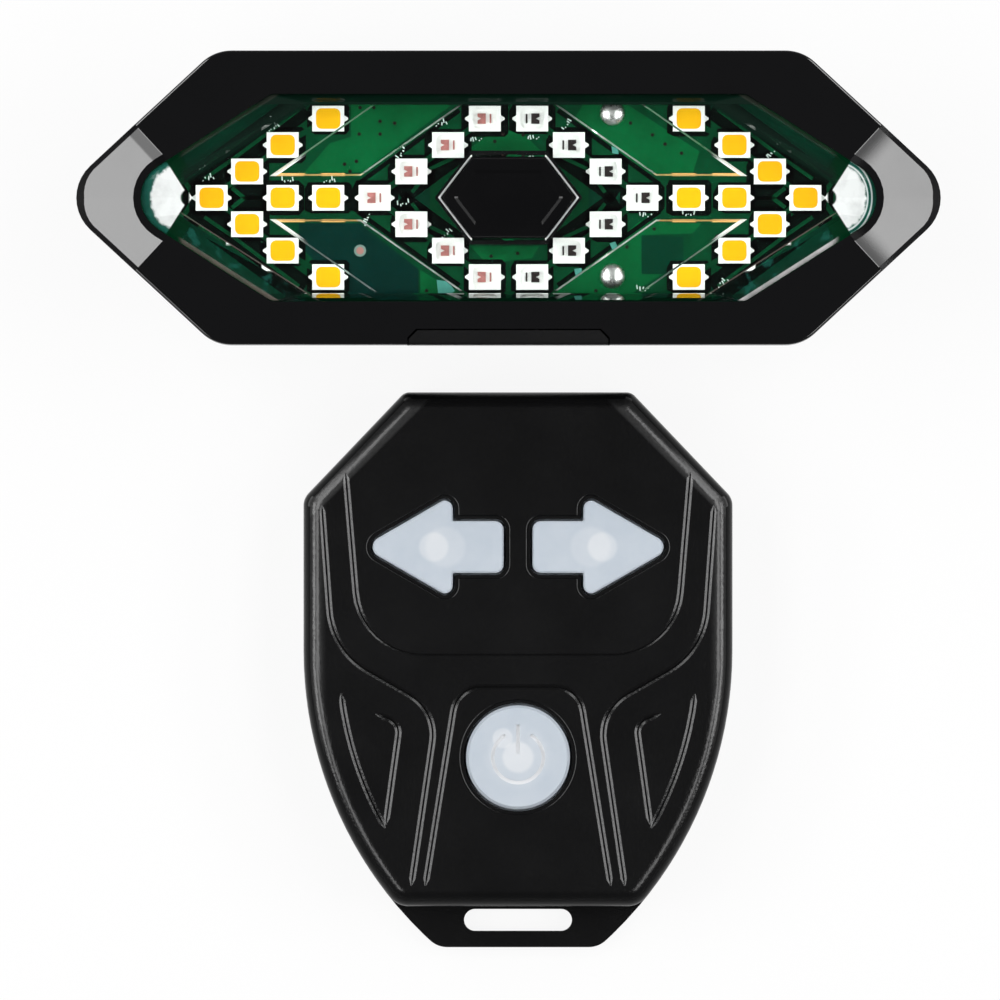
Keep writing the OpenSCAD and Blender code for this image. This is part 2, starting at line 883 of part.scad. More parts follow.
module amber_leds_left() {
    color("#f4f4f0")
        on_light()
            mirror([1, 0, 0])
                at_leds(amber_spots)
                    led_package();
}

module amber_leds_right() {
    color("#f4f4f0")
        on_light()
            at_leds(amber_spots)
                led_package();
}

module amber_fill_left() {
    color("#ffcc00")
        on_light()
            mirror([1, 0, 0])
                at_leds(amber_spots)
                    led_well(led_fill_t);
}

module amber_fill_right() {
    color("#ffcc00")
        on_light()
            at_leds(amber_spots)
                led_well(led_fill_t);
}

module red_leds() {
    color("#f6f3f0")
        on_light()
            both_sides()
                at_leds(red_spots)
                    led_package();
}

module red_chips() {
    color("#5a2020")
        on_light()
            both_sides()
                at_leds(red_spots)
                    led_chip();
}

module mode_button() {
    stem_low = board_top + can_floor + mode_travel;
    color("#101010")
        on_light()
            difference() {
                union() {
                    translate([0, 0, mode_foot])
                        linear_extrude(mode_top - mode_edge - mode_foot)
                            polygon(mode_outline(0));
                    loft([mode_outline(0), mode_outline(mode_edge)], [mode_top - mode_edge - eps, mode_top]);
                    translate([0, 0, mode_foot])
                        linear_extrude(mode_flange_t)
                            polygon(mode_outline(-mode_flange_lip));
                    translate([0, 0, stem_low])
                        cylinder(r = stem_r, h = roof_z - stem_low);
                }
                loft([mode_outline(dish_floor_in), mode_outline(dish_in)],
                    [mode_top - dish_d, mode_top + eps]);
            }
}

// One square key switch whose well takes a stem
module key_can(z) {
    translate([0, 0, z])
        difference() {
            translate([-can_l / 2, -can_l / 2, 0])
                cube([can_l, can_l, can_h]);
            translate([0, 0, can_floor])
                cylinder(r = stem_r + stem_gap, h = can_h);
        }
}

module mode_switch() {
    color("#c9ccd0")
        on_light()
            key_can(board_top);
}

module board_parts() {
    color("#303236")
        on_light()
            translate([0, 0, board_z]) {
                translate([driver_spot[0], driver_spot[1], -driver_t])
                    cube([driver_l, driver_l, driver_t]);
                translate([coil_spot[0], coil_spot[1], -coil_t])
                    cube([coil_l, coil_l, coil_t]);
                for (k = [0:3])
                    translate([filter_spot[0] + filter_pitch * k, filter_spot[1], -filter_size[2]])
                        cube(filter_size);
            }
}

module battery() {
    color("#8f9aa3")
        on_light()
            translate([-battery_l / 2, -battery_w / 2, floor_z + battery_pad_t])
                cube([battery_l, battery_w, battery_t]);
}

module battery_pad() {
    color("#3a3a3a")
        on_light()
            translate([-battery_l / 2 + pad_side, -battery_w / 2 + pad_side, floor_z])
                cube([battery_l - 2 * pad_side, battery_w - 2 * pad_side, battery_pad_t]);
}

module battery_leads() {
    color("#b02020")
        on_light()
            for (s = [-1, 1])
                translate([battery_l / 2 - lead_in, s * lead_y, battery_top])
                    cylinder(r = lead_r, h = board_z - battery_top);
}

module usb_socket() {
    color("#c8ccd2")
        on_light()
            translate([0, usb_y, usb_z])
                rotate([-90, 0, 0])
                    difference() {
                        pill(usb_w, usb_h, usb_d);
                        translate([0, 0, -1])
                            pill(usb_w - 2 * usb_wall, usb_h - 2 * usb_wall, usb_d - usb_back + 1);
                    }
}

module usb_tongue() {
    color("#26282b")
        on_light()
            translate([-tongue_w / 2, usb_y + tongue_in, usb_z - tongue_t / 2])
                cube([tongue_w, usb_d - usb_back - tongue_in, tongue_t]);
}

module usb_cover() {
    color("#202020")
        on_light() {
            intersection() {
                bezel_form();
                translate([0, 0, flap_foot])
                    linear_extrude(bezel_h * 2)
                        flap_plan(0);
            }
            difference() {
                union() {
                    hinge_bore(hinge_r, hinge_l / 2);
                    translate([-hinge_l / 2, hinge_y - hinge_web / 2, hinge_z])
                        cube([hinge_l, hinge_web, flap_foot - hinge_z + hinge_r]);
                }
                hinge_bore(pin_r + pin_gap, hinge_l);
            }
            translate([0, flap_back - eps, usb_z - plug_drop])
                rotate([-90, 0, 0])
                    pill(usb_w - 2 * plug_gap, usb_h - 2 * plug_gap, plug_d);
        }
}

module usb_hinge_pin() {
    color("#b8bcc2")
        on_light()
            hinge_bore(pin_r, hinge_l / 2 + pin_over);
}

// Pan-head screw that points up, its head under z = 0, with a cross recess
module screw(r, l, head_r, head_t) {
    difference() {
        union() {
            translate([0, 0, -head_t / 2])
                cylinder(r = r, h = l + head_t / 2);
            translate([0, 0, -head_t])
                cylinder(r = head_r, h = head_t);
        }
        for (w = [0, 90])
            rotate([0, 0, w])
                translate([-head_r * 0.65, -recess_w / 2, -head_t - eps])
                    cube([head_r * 1.3, recess_w, head_t / 2]);
    }
}

module shell_screws() {
    color("#8a8d92")
        on_light()
            four_ways()
                translate([screw_x, screw_y, rear_z + screw_seat])
                    screw(screw_r, rear_h - screw_seat + pilot_h - screw_tip, screw_head_r, screw_head_t);
}

module seat_post_saddle() {
    w = saddle_w / 2;
    top = saddle_top_w / 2;
    color("#1c1c1c")
        on_light()
            difference() {
                union() {
                    rotate([90, 0, 0])
                        linear_extrude(saddle_len, center = true)
                            polygon([[-w, 0], [w, 0], [w, saddle_side_h], [top, saddle_h], [-top, saddle_h],
                                [-w, saddle_side_h]]);
                    both_sides()
                        translate([w - ear_root, -ear_l / 2, ear_z])
                            cube([ear_w + ear_root, ear_l, ear_t]);
                }
                translate([0, saddle_len, axis_z])
                    rotate([90, 0, 0])
                        cylinder(r = trough_r, h = saddle_len * 2);
                both_sides()
                    translate([w + ear_slot_x, -ear_slot_l / 2, 0])
                        cube([ear_slot_w, ear_slot_l, saddle_h]);
                for (s = [-1, 1])
                    translate([0, s * saddle_screw_y, 0]) {
                        cylinder(r = saddle_screw_r + screw_gap, h = saddle_h + 1);
                        cylinder(r = saddle_head_r + head_gap, h = saddle_h - saddle_seat);
                    }
            }
}

module saddle_pad() {
    color("#303030")
        on_light()
            intersection() {
                translate([0, saddle_len / 2, axis_z])
                    rotate([90, 0, 0])
                        difference() {
                            cylinder(r = trough_r, h = saddle_len);
                            translate([0, 0, -1])
                                cylinder(r = post_r, h = saddle_len + 2);
                        }
                difference() {
                    translate([-saddle_w / 2, -saddle_len / 2, 0])
                        cube([saddle_w, saddle_len, saddle_h]);
                    for (s = [-1, 1])
                        translate([0, s * saddle_screw_y, 0])
                            cylinder(r = saddle_head_r + 2 * head_gap, h = saddle_h);
                }
            }
}

module saddle_screws() {
    color("#8a8d92")
        on_light()
            for (s = [-1, 1])
                translate([0, s * saddle_screw_y, saddle_h - saddle_seat])
                    screw(saddle_screw_r, saddle_seat + rear_floor + saddle_bite,
                        saddle_head_r, saddle_head_t);
}

// One point per side for the boss and screw places
module at_bosses() {
    both_sides() {
        translate(boss_top)
            children();
        translate(boss_low)
            children();
    }
}

// Decorative grooves: under the arrow keys, down the sides, round the power key, on the flanks
panel_path = bent(
    [[-19, -8.7], [-17.3, -28.93], [17.3, -28.93], [19, -8.7]], [7.5, 7.5]);
sweep_path = bent(
    [[-21.6, -12.4], [-20.45, -28.45], [-8.93, -35.05], [-11.75, groove_low]], [8.4, 5.1]);
collar_path = bent(
    [[-10.2, groove_low], [-6.7, -32.45], [6.7, -32.45], [10.2, groove_low]], [3.1, 3.1]);
wedge_path = bent(
    [[-14.55, -47.6], [-13, -36.4], [-15.7, -35.4]], [1.7]);
wedge_inset = 3.9;
panel_strong = 15;
collar_strong = 22;

function flank_path(d, a0, a1, n) =
    [for (k = [0:n])
        let (w = a0 + (a1 - a0) * k / n)
        [flank_r - remote_w / 2 - (flank_r - d) * cos(w), -flank_start - (flank_r - d) * sin(w)]];

// Adds a point near each end of a path so that the groove tapers there
function eased(path) =
    let (m = len(path))
    let (a = path[0])
    let (d = path[m - 1])
    let (b = path[1] - a)
    let (c = path[m - 2] - d)
    concat(
        [a, a + b * groove_taper / norm(b)],
        [for (i = [1:m - 2]) path[i]],
        [d + c * groove_taper / norm(c), d]);

module remote_top_shell() {
    wall_z = shell_top - shell_round;
    color("#181818")
        on_remote()
            difference() {
                union() {
                    difference() {
                        loft(
                            concat([remote_outline(0, shell_len, low_corner_r)],
                                [for (w = arc_steps)
                                    remote_outline(shell_lean + shell_round * (1 - cos(w)), shell_len,
                                        low_corner_r)]),
                            concat([base_h], [for (w = arc_steps) wall_z + shell_round * sin(w)]));
                        translate([0, 0, base_h - 1])
                            linear_extrude(shell_under - base_h + 1)
                                polygon(remote_outline(shell_wall, shell_len, low_corner_r));
                    }
                    at_bosses()
                        translate([0, 0, base_h])
                            cylinder(r = boss_r, h = shell_under - base_h + eps);
                }
                at_bosses()
                    cylinder(r = rscrew_r, h = rpilot_top);
                both_sides()
                    translate([-arrow_space / 2, -arrow_y, shell_under - 1]) {
                        linear_extrude(shell_wall + 2)
                            polygon(arrow_outline(key_gap));
                        translate([0, 0, shell_wall + 1 - key_lip_d])
                            linear_extrude(1)
                                polygon(arrow_outline(key_gap + key_lip));
                    }
                translate([0, -power_y, shell_under - 1]) {
                    cylinder(r = power_r + key_gap, h = shell_wall + 2);
                    translate([0, 0, shell_wall + 1 - key_lip_d])
                        cylinder(r = power_r + key_gap + key_lip, h = 1);
                }
                vee_groove(eased(panel_path), panel_strong);
                vee_groove(eased(collar_path), collar_strong);
                both_sides() {
                    vee_groove(eased(sweep_path), remote_len);
                    vee_groove(eased(wedge_path), remote_len);
                    vee_groove(eased(flank_path(wedge_inset, 6.8, 29.4, 8)), remote_len);
                }
            }
}

module remote_base() {
    color("#161616")
        on_remote()
            difference() {
                union() {
                    difference() {
                        loft(
                            [remote_outline(base_chamfer, remote_len, low_corner_r),
                                remote_outline(0, remote_len, low_corner_r),
                                remote_outline(0, remote_len, low_corner_r)],
                            [0, base_chamfer, base_h]);
                        translate([0, 0, base_floor])
                            linear_extrude(base_h)
                                polygon(remote_outline(shell_wall, shell_len, low_corner_r));
                        translate([-remote_w, -shell_len - remote_w, lug_t])
                            cube([2 * remote_w, remote_w, base_h]);
                    }
                    both_sides()
                        for (p = prop_spots)
                            translate([p[0], p[1], base_floor - eps])
                                cylinder(r = prop_r, h = rboard_z - base_floor);
                    at_bosses()
                        translate([0, 0, base_floor - eps])
                            cylinder(r = boss_r, h = base_h - base_floor);
                }
                translate([0, -shell_len - slot_in, -1])
                    pill(slot_l, slot_w, lug_t + 2);
                translate([0, -cap_y, -1]) {
                    cylinder(r = cap_hole_r, h = base_floor + 2);
                    cylinder(r = cap_r + cap_gap, h = cap_z + cap_t + cap_over + 1);
                }
                at_bosses()
                    translate([0, 0, -1]) {
                        cylinder(r = rscrew_r + rscrew_gap, h = base_h + 2);
                        cylinder(r = rscrew_head_r + head_gap, h = rscrew_seat + 1);
                    }
            }
}

module arrow_key() {
    translate([0, 0, key_flange_top - key_flange_t])
        linear_extrude(key_flange_t)
            polygon(arrow_outline(key_flange_lip));
    translate([0, 0, key_flange_top - eps])
        linear_extrude(key_top - key_flange_top - key_edge + eps)
            polygon(arrow_outline(0));
    translate([0, 0, key_top - key_edge - eps])
        linear_extrude(key_edge + eps)
            polygon(arrow_outline(-key_edge));
    translate([arrow_space / 2 - arrow_stem_x, 0, stem_foot])
        key_stem();
}

// Stem under a key, from its foot up into the flange
module key_stem() {
    cylinder(r = stem_r, h = key_flange_top - stem_foot - stem_root);
}

module left_button() {
    color("#cfd8e0")
        on_remote()
            translate([-arrow_space / 2, -arrow_y, 0])
                arrow_key();
}

module right_button() {
    color("#cfd8e0")
        on_remote()
            mirror([1, 0, 0])
                translate([-arrow_space / 2, -arrow_y, 0])
                    arrow_key();
}

module power_button() {
    color("#cfd8e0")
        on_remote()
            translate([0, -power_y, 0])
                difference() {
                    union() {
                        translate([0, 0, key_flange_top - key_flange_t])
                            cylinder(r = power_r + key_flange_lip, h = key_flange_t);
                        translate([0, 0, key_flange_top - eps])
                            cylinder(r = power_r, h = key_top - key_flange_top - power_edge + eps);
                        translate([0, 0, key_top - power_edge - eps])
                            cylinder(r1 = power_r, r2 = power_r - power_edge, h = power_edge + eps);
                        translate([0, 0, stem_foot])
                            key_stem();
                    }
                    translate([0, 0, key_top - sign_d])
                        rotate([0, 0, 90 + sign_open / 2])
                            rotate_extrude(angle = 360 - sign_open)
                                translate([sign_r - sign_w / 2, 0])
                                    square([sign_w, 1]);
                    translate([-sign_w / 2, sign_bar_y, key_top - sign_d])
                        cube([sign_w, sign_bar, 1]);
                }
}

module remote_board() {
    color("#0d5c34")
        on_remote()
            difference() {
                translate([0, 0, rboard_z])
                    linear_extrude(rboard_t)
                        polygon(remote_outline(rboard_gap, rboard_len, rboard_gap));
                both_sides()
                    translate([boss_top[0], boss_top[1], rboard_z - 1])
                        cylinder(r = boss_r + notch_gap, h = rboard_t + 2);
            }
}

module key_switches() {
    color("#c9ccd0")
        on_remote() {
            both_sides()
                translate([arrow_stem_x, -arrow_y, 0])
                    key_can(rboard_top);
            translate([0, -power_y, 0])
                key_can(rboard_top);
        }
}

module remote_led() {
    color("#e8f0ff")
        on_remote()
            translate([-rled_size[0] / 2, -power_y + can_l / 2 + rled_gap, rboard_top])
                cube(rled_size);
}

module coin_cell() {
    color("#c4c8cc")
        on_remote()
            translate([0, -cap_y, cell_z]) {
                cylinder(r = cell_r, h = cell_t - cell_step);
                cylinder(r = cell_step_r, h = cell_t);
            }
}

module cell_contact() {
    color("#d8c070")
        on_remote()
            translate([-contact_l / 2, -cap_y - contact_w / 2, cell_z + cell_t]) {
                cube([contact_l, contact_w, contact_t]);
                for (x = [0, contact_l - contact_leg])
                    translate([x, 0, 0])
                        cube([contact_leg, contact_w, rboard_z - cell_z - cell_t]);
            }
}

module battery_cap() {
    color("#1e1e1e")
        on_remote()
            translate([0, -cap_y, cap_z])
                difference() {
                    union() {
                        cylinder(r = cap_r, h = cap_t);
                        cylinder(r = spigot_r, h = cap_t + spigot_t);
                    }
                    translate([-coin_slot[0] / 2, -coin_slot[1] / 2, -eps])
                        cube(coin_slot);
                    seal_ring(cap_r);
                }
}

// Ring round the spigot of the battery cap
module seal_ring(r) {
    translate([0, 0, seal_z])
        difference() {
            cylinder(r = r, h = seal_t);
            translate([0, 0, -1])
                cylinder(r = spigot_r - seal_in, h = seal_t + 2);
        }
}

module cap_seal() {
    color("#a03020")
        on_remote()
            translate([0, -cap_y, cap_z])
                seal_ring(seal_r);
}

module remote_screws() {
    color("#8a8d92")
        on_remote()
            at_bosses()
                translate([0, 0, rscrew_seat])
                    screw(rscrew_r, base_h + rscrew_bite - rscrew_seat, rscrew_head_r, rscrew_head_t);
}

light_bezel();
light_lens();
light_rear_shell();
light_gasket();
led_board();
amber_leds_left();
amber_leds_right();
amber_fill_left();
amber_fill_right();
red_leds();
red_chips();
mode_button();
mode_switch();
board_parts();
battery();
battery_pad();
battery_leads();
usb_socket();
usb_tongue();
usb_cover();
usb_hinge_pin();
shell_screws();
seat_post_saddle();
saddle_pad();
saddle_screws();
remote_top_shell();
remote_base();
left_button();
right_button();
power_button();
remote_board();
key_switches();
remote_led();
coin_cell();
cell_contact();
battery_cap();
cap_seal();
remote_screws();
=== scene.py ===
"""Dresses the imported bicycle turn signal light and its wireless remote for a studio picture."""
import json
import math

import bmesh
import bpy
import numpy as np
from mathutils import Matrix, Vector

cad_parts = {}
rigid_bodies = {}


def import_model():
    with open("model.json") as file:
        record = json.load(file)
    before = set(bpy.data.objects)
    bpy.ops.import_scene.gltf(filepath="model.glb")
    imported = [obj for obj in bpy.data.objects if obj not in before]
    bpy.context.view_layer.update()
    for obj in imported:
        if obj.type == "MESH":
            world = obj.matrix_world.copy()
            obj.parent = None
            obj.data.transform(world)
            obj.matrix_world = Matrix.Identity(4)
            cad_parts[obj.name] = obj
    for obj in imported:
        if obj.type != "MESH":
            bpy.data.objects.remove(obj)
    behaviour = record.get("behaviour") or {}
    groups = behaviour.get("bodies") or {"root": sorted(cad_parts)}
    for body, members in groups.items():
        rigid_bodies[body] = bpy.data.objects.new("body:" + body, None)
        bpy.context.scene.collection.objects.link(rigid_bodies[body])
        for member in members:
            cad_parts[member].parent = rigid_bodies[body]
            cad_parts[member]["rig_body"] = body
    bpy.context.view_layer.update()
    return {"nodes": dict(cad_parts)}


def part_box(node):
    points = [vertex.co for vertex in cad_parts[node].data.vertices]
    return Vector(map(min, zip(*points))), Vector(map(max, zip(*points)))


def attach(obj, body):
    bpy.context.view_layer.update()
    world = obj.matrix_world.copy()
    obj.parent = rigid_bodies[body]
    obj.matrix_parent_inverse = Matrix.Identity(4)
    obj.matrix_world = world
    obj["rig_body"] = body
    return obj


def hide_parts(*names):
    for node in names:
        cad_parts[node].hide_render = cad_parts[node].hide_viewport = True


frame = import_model()

MM = 0.001


def middle(node):
    """The middle of a CAD node's box."""
    return sum(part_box(node), Vector()) / 2


def top(node):
    """The height of a CAD node's highest point."""
    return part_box(node)[1].z


LIGHT_MID = middle("light_bezel")
REMOTE_MID = middle("remote_top_shell")
REMOTE_EDGE_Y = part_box("remote_top_shell")[1].y
BOARD_TOP = top("led_board")


class Wire:
    """One output socket in a node tree. Arithmetic on wires adds Math nodes."""

    def __init__(self, tree, socket=None):
        self.tree = tree
        self.socket = socket

    def add(self, kind, settings=None, sockets=None, out=0):
        """Adds a shader node, fills its settings, then its sockets, and gives one of its outputs."""
        node = self.tree.nodes.new("ShaderNode" + kind)
        for key, value in (settings or {}).items():
            setattr(node, key, value)
        for key, value in (sockets or {}).items():
            if isinstance(value, Wire):
                self.tree.links.new(value.socket, node.inputs[key])
            else:
                node.inputs[key].default_value = value
        return Wire(self.tree, node.outputs[out])

    def math(self, operation, a, b=0.0):
        return self.add("Math", {"operation": operation}, {0: a, 1: b})

    def __add__(self, other):
        return self.math("ADD", self, other)

    def __sub__(self, other):
        return self.math("SUBTRACT", self, other)

    def __rsub__(self, other):
        return self.math("SUBTRACT", other, self)

    def __mul__(self, other):
        return self.math("MULTIPLY", self, other)

    def __truediv__(self, other):
        return self.math("DIVIDE", self, other)

    def __pow__(self, other):
        return self.math("POWER", self, other)

    def __abs__(self):
        return self.math("ABSOLUTE", self)

    __radd__ = __add__
    __rmul__ = __mul__

    def least(self, other):
        return self.math("MINIMUM", self, other)

    def most(self, other):
        return self.math("MAXIMUM", self, other)

    def fade(self, low, high):
        """0 under low, 1 over high, eased between the two; low over high turns it round."""
        span = {0: self, 1: min(low, high), 2: max(low, high)}
        ends = {3: 0.0, 4: 1.0} if low < high else {3: 1.0, 4: 0.0}
        return self.add("MapRange", {"interpolation_type": "SMOOTHSTEP"}, span | ends)

    def between(self, low, high, ease):
        """1 from low to high, easing in after low and out before high."""
        return self.fade(low, low + ease) * self.fade(high, high - ease)

    def mix(self, a, b):
        """The colour a where this wire is 0 and b where it is 1."""
        return self.add("Mix", {"data_type": "RGBA"}, {0: self, 6: a, 7: b}, out=2)

    def blend(self, a, b):
        """The shader a where this wire is 0 and b where it is 1."""
        return self.add("MixShader", None, {0: self, 1: a, 2: b})


def paint(name):
    """A new empty material and the wire that its nodes are made with."""
    material = bpy.data.materials.new(name)
    material.use_nodes = True
    material.node_tree.nodes.clear()
    return material, Wire(material.node_tree)


def show(wire, shader):
    """Puts a shader on the material's output."""
    node = wire.tree.nodes.new("ShaderNodeOutputMaterial")
    wire.tree.links.new(shader.socket, node.inputs["Surface"])


def place(wire, centre):
    """Object coordinates in millimetres from a centre, as a vector and as three wires."""
    spot = wire.add("TexCoord", None, None, out="Object")
    moved = wire.add("Mapping", {"vector_type": "POINT"}, {
        "Vector": spot, "Location": tuple(-c / MM for c in centre), "Scale": (1 / MM,) * 3})
    split = wire.add("SeparateXYZ", None, {0: moved}).socket.node
    return moved, [Wire(wire.tree, s) for s in split.outputs]


def apart(x, y, centre):
    """The distance in the plane, in millimetres, from a centre in metres."""
    return ((x - centre.x / MM) ** 2.0 + (y - centre.y / MM) ** 2.0) ** 0.5


def grain(wire, vector, waves, detail=3.0):
    """Fine even noise, 0 to 1, of so many waves per millimetre."""
    return wire.add("TexNoise", None, {
        "Vector": vector, "Scale": waves, "Detail": detail, "Roughness": GRAIN_ROUGH})


def rgb(red, green, blue):
    """An opaque colour."""
    return (red, green, blue, 1.0)


def scaled(colour, factor, lift=0.0):
    """A colour times a factor, lifted a little."""
    return rgb(*(c * factor + lift for c in colour))


GRAIN_ROUGH = 0.55
CLOUD_WAVES = 0.12
TOOTH_DEPTH = 0.05 * MM
BROW_REACH = 11.9
BROW_WIDTH = 3.2
BROW_EASE = 0.6
FLANK_X = 21.0
FLANK_EASE = 0.8
SHEEN_ROUGH = 0.4


def brow(x, y, fine):
    """How much dull lacquer lies on the remote: on a band along its upper slants, inside the line where the
    way out from the middle equals the way down from the top edge plus a reach, and half as much on its
    flanks."""
    side = abs(x - REMOTE_MID.x / MM)
    slant = side + (y - REMOTE_EDGE_Y / MM) - BROW_REACH
    band = slant.fade(-BROW_WIDTH, BROW_EASE - BROW_WIDTH)
    flank = side.fade(FLANK_X, FLANK_X + FLANK_EASE) * 0.5
    return band.most(flank) * (0.4 + fine * 1.1).least(1.0)


def moulded(name, colour, gloss, tooth, waves, wear=0.15, shine=0.5, sheen=None):
    """Moulded plastic: a tooth of so many waves per millimetre, and gloss and colour that drift a little. A
    sheen is a function of place and grain that says how much dull lacquer lies there."""
    material, w = paint(name)
    spot, (x, y, _) = place(w, (0, 0, 0))
    cloud = grain(w, spot, CLOUD_WAVES)
    fine = grain(w, spot, waves, 2.0)
    sockets = {
        "Base Color": (cloud * wear + fine * wear).mix(rgb(*colour), scaled(colour, 1.8, 0.002)),
        "Roughness": gloss + (cloud - 0.5) * 0.08 + (fine - 0.5) * 0.05, "Specular IOR Level": shine}
    if sheen:
        sockets["Coat Weight"] = sheen(x, y, fine)
        sockets["Coat Roughness"] = SHEEN_ROUGH
    if tooth:
        sockets["Normal"] = w.add("Bump", None, {"Strength": tooth, "Distance": TOOTH_DEPTH, "Height": fine})
    show(w, w.add("BsdfPrincipled", None, sockets))
    return material


def metal(name, colour, gloss):
    """Metal with a faint cloud in its colour and gloss."""
    material, w = paint(name)
    spot, _ = place(w, (0, 0, 0))
    cloud = grain(w, spot, 1.4)
    show(w, w.add("BsdfPrincipled", None, {
        "Base Color": cloud.mix(rgb(*colour), scaled(colour, 0.8)), "Metallic": 1.0,
        "Roughness": gloss + (cloud - 0.5) * 0.1}))
    return material


def solder_mask(name, dark, bright):
    """Lacquer over a circuit board, with a cloudy tone and a soft gloss."""
    material, w = paint(name)
    spot, _ = place(w, (0, 0, 0))
    cloud = grain(w, spot, 0.22, 4.0)
    weave = grain(w, spot, 2.6, 2.0)
    tone = (cloud * 0.85 + weave * 0.3 - 0.1).mix(rgb(*dark), rgb(*bright))
    show(w, w.add("BsdfPrincipled", None, {
        "Base Color": tone, "Roughness": 0.14 + weave * 0.08, "Specular IOR Level": 0.1}))
    return material


def bare(name, colour, gloss, drift=0.12, shine=0.5):
    """Plain hard surface whose colour and gloss drift a little."""
    material, w = paint(name)
    spot, _ = place(w, (0, 0, 0))
    cloud = grain(w, spot, 0.9)
    show(w, w.add("BsdfPrincipled", None, {
        "Base Color": (cloud * drift).mix(rgb(*colour), scaled(colour, 0.6)),
        "Roughness": gloss + (cloud - 0.5) * 0.06, "Specular IOR Level": shine}))
    return material


BEZEL_SLOPE = math.radians(42.8)
FACET_START = (38.1, 4.75)
FACET_DEPTH = 1.1
BEZEL_BLACK = (0.0035, 0.0035, 0.004)
BEZEL_WORN = (0.008, 0.008, 0.009)


def bezel_gloss():
    """Gloss black plastic under lacquer. The lacquer thins out where the facets at the tips begin: in a
    narrow strip at the upper left, and in a soft fade on the right."""
    material, w = paint("bezel_gloss")
    spot, (x, y, z) = place(w, (LIGHT_MID.x, LIGHT_MID.y, top("light_bezel")))
    along = ((abs(x) - FACET_START[0]) * math.cos(BEZEL_SLOPE)
             - (abs(y) - FACET_START[1]) * math.sin(BEZEL_SLOPE))
    right, upper = x.fade(-1.0, 1.0), y.fade(-1.0, 1.0)
    facet = z.fade(-FACET_DEPTH - 0.2, -FACET_DEPTH) * along.fade(-0.1, 0.0)
    thin = facet * (right * along.fade(2.6, 0.2) + (1.0 - right) * upper * along.fade(1.3, 1.0))
    cloud = grain(w, spot, CLOUD_WAVES)
    show(w, w.add("BsdfPrincipled", None, {
        "Base Color": (cloud * 0.2).mix(rgb(*BEZEL_BLACK), rgb(*BEZEL_WORN)),
        "Roughness": 0.10 + (cloud - 0.5) * 0.06 + right * thin * 0.22,
        "Coat Weight": (1.0 - thin) * (1.2 - cloud * 0.4).least(1.0),
        "Coat Roughness": 0.04, "Coat IOR": 1.6}))
    return material


WINDOW_SLOPE = math.radians(32.5)
WINDOW_HALF, WINDOW_TIP_R = 40.4, 4.1
WINDOW_TOP = 11.4
WINDOW_APEX = WINDOW_HALF + WINDOW_TIP_R * (1 / math.sin(WINDOW_SLOPE) - 1)
BEVEL = 2.88
LENS_EDGE = -1.3
LENS_TIP_START = (37.1, 3.3)
LENS_TIP_MID = WINDOW_HALF - WINDOW_TIP_R
LENS_TIP_APEX = LENS_TIP_START[0] - LENS_TIP_START[1] * math.tan(WINDOW_SLOPE)
TIP_BLOCK_R = 3.75
TIP_NOTCH_R = 0.85
TIP_GLINT_RADII = (3.75, 4.3)
HOLE_SLOPE = math.radians(52.5)
HOLE_TIP = 7.4 + 0.3 * (1 / math.sin(HOLE_SLOPE) - 1)
HOLE_BEVEL = 0.22
HOLE_TOP = 4.5
GUIDE_SLOPE = math.radians(35.0)
GUIDE_LOW, GUIDE_HIGH = 2.4, 10.3
GUIDE_INNER, GUIDE_OUTER = 16.2, 26.1
GUIDE_ROOF, GUIDE_FOOT = -2.3, -3.2
GLEAM_SPANS = ((17.8, 20.7), (22.2, 25.9))
BRIM = 0.6
BEVEL_END = 36.4
STEEP_SHADE_SHIFT = 0.33
PATCH_AND_HIGHLIGHT_WHITE = (0.86, 0.89, 0.88)
RIM_AND_HIGHLIGHT_TEAL = (0.02, 0.17, 0.13)
PAINTED_LED_AMBER = (0.92, 0.56, 0.19)
HIGHLIGHT_BROWN = (0.30, 0.24, 0.21)
HIGHLIGHT_PALE = (0.62, 0.60, 0.60)
PAINTED_SHADE_DARK = (0.002, 0.012, 0.007)
ACRYLIC = (0.97, 1.0, 0.99)
ACRYLIC_SHADE = (0.97, 0.99, 0.98)
ACRYLIC_IOR = 1.49


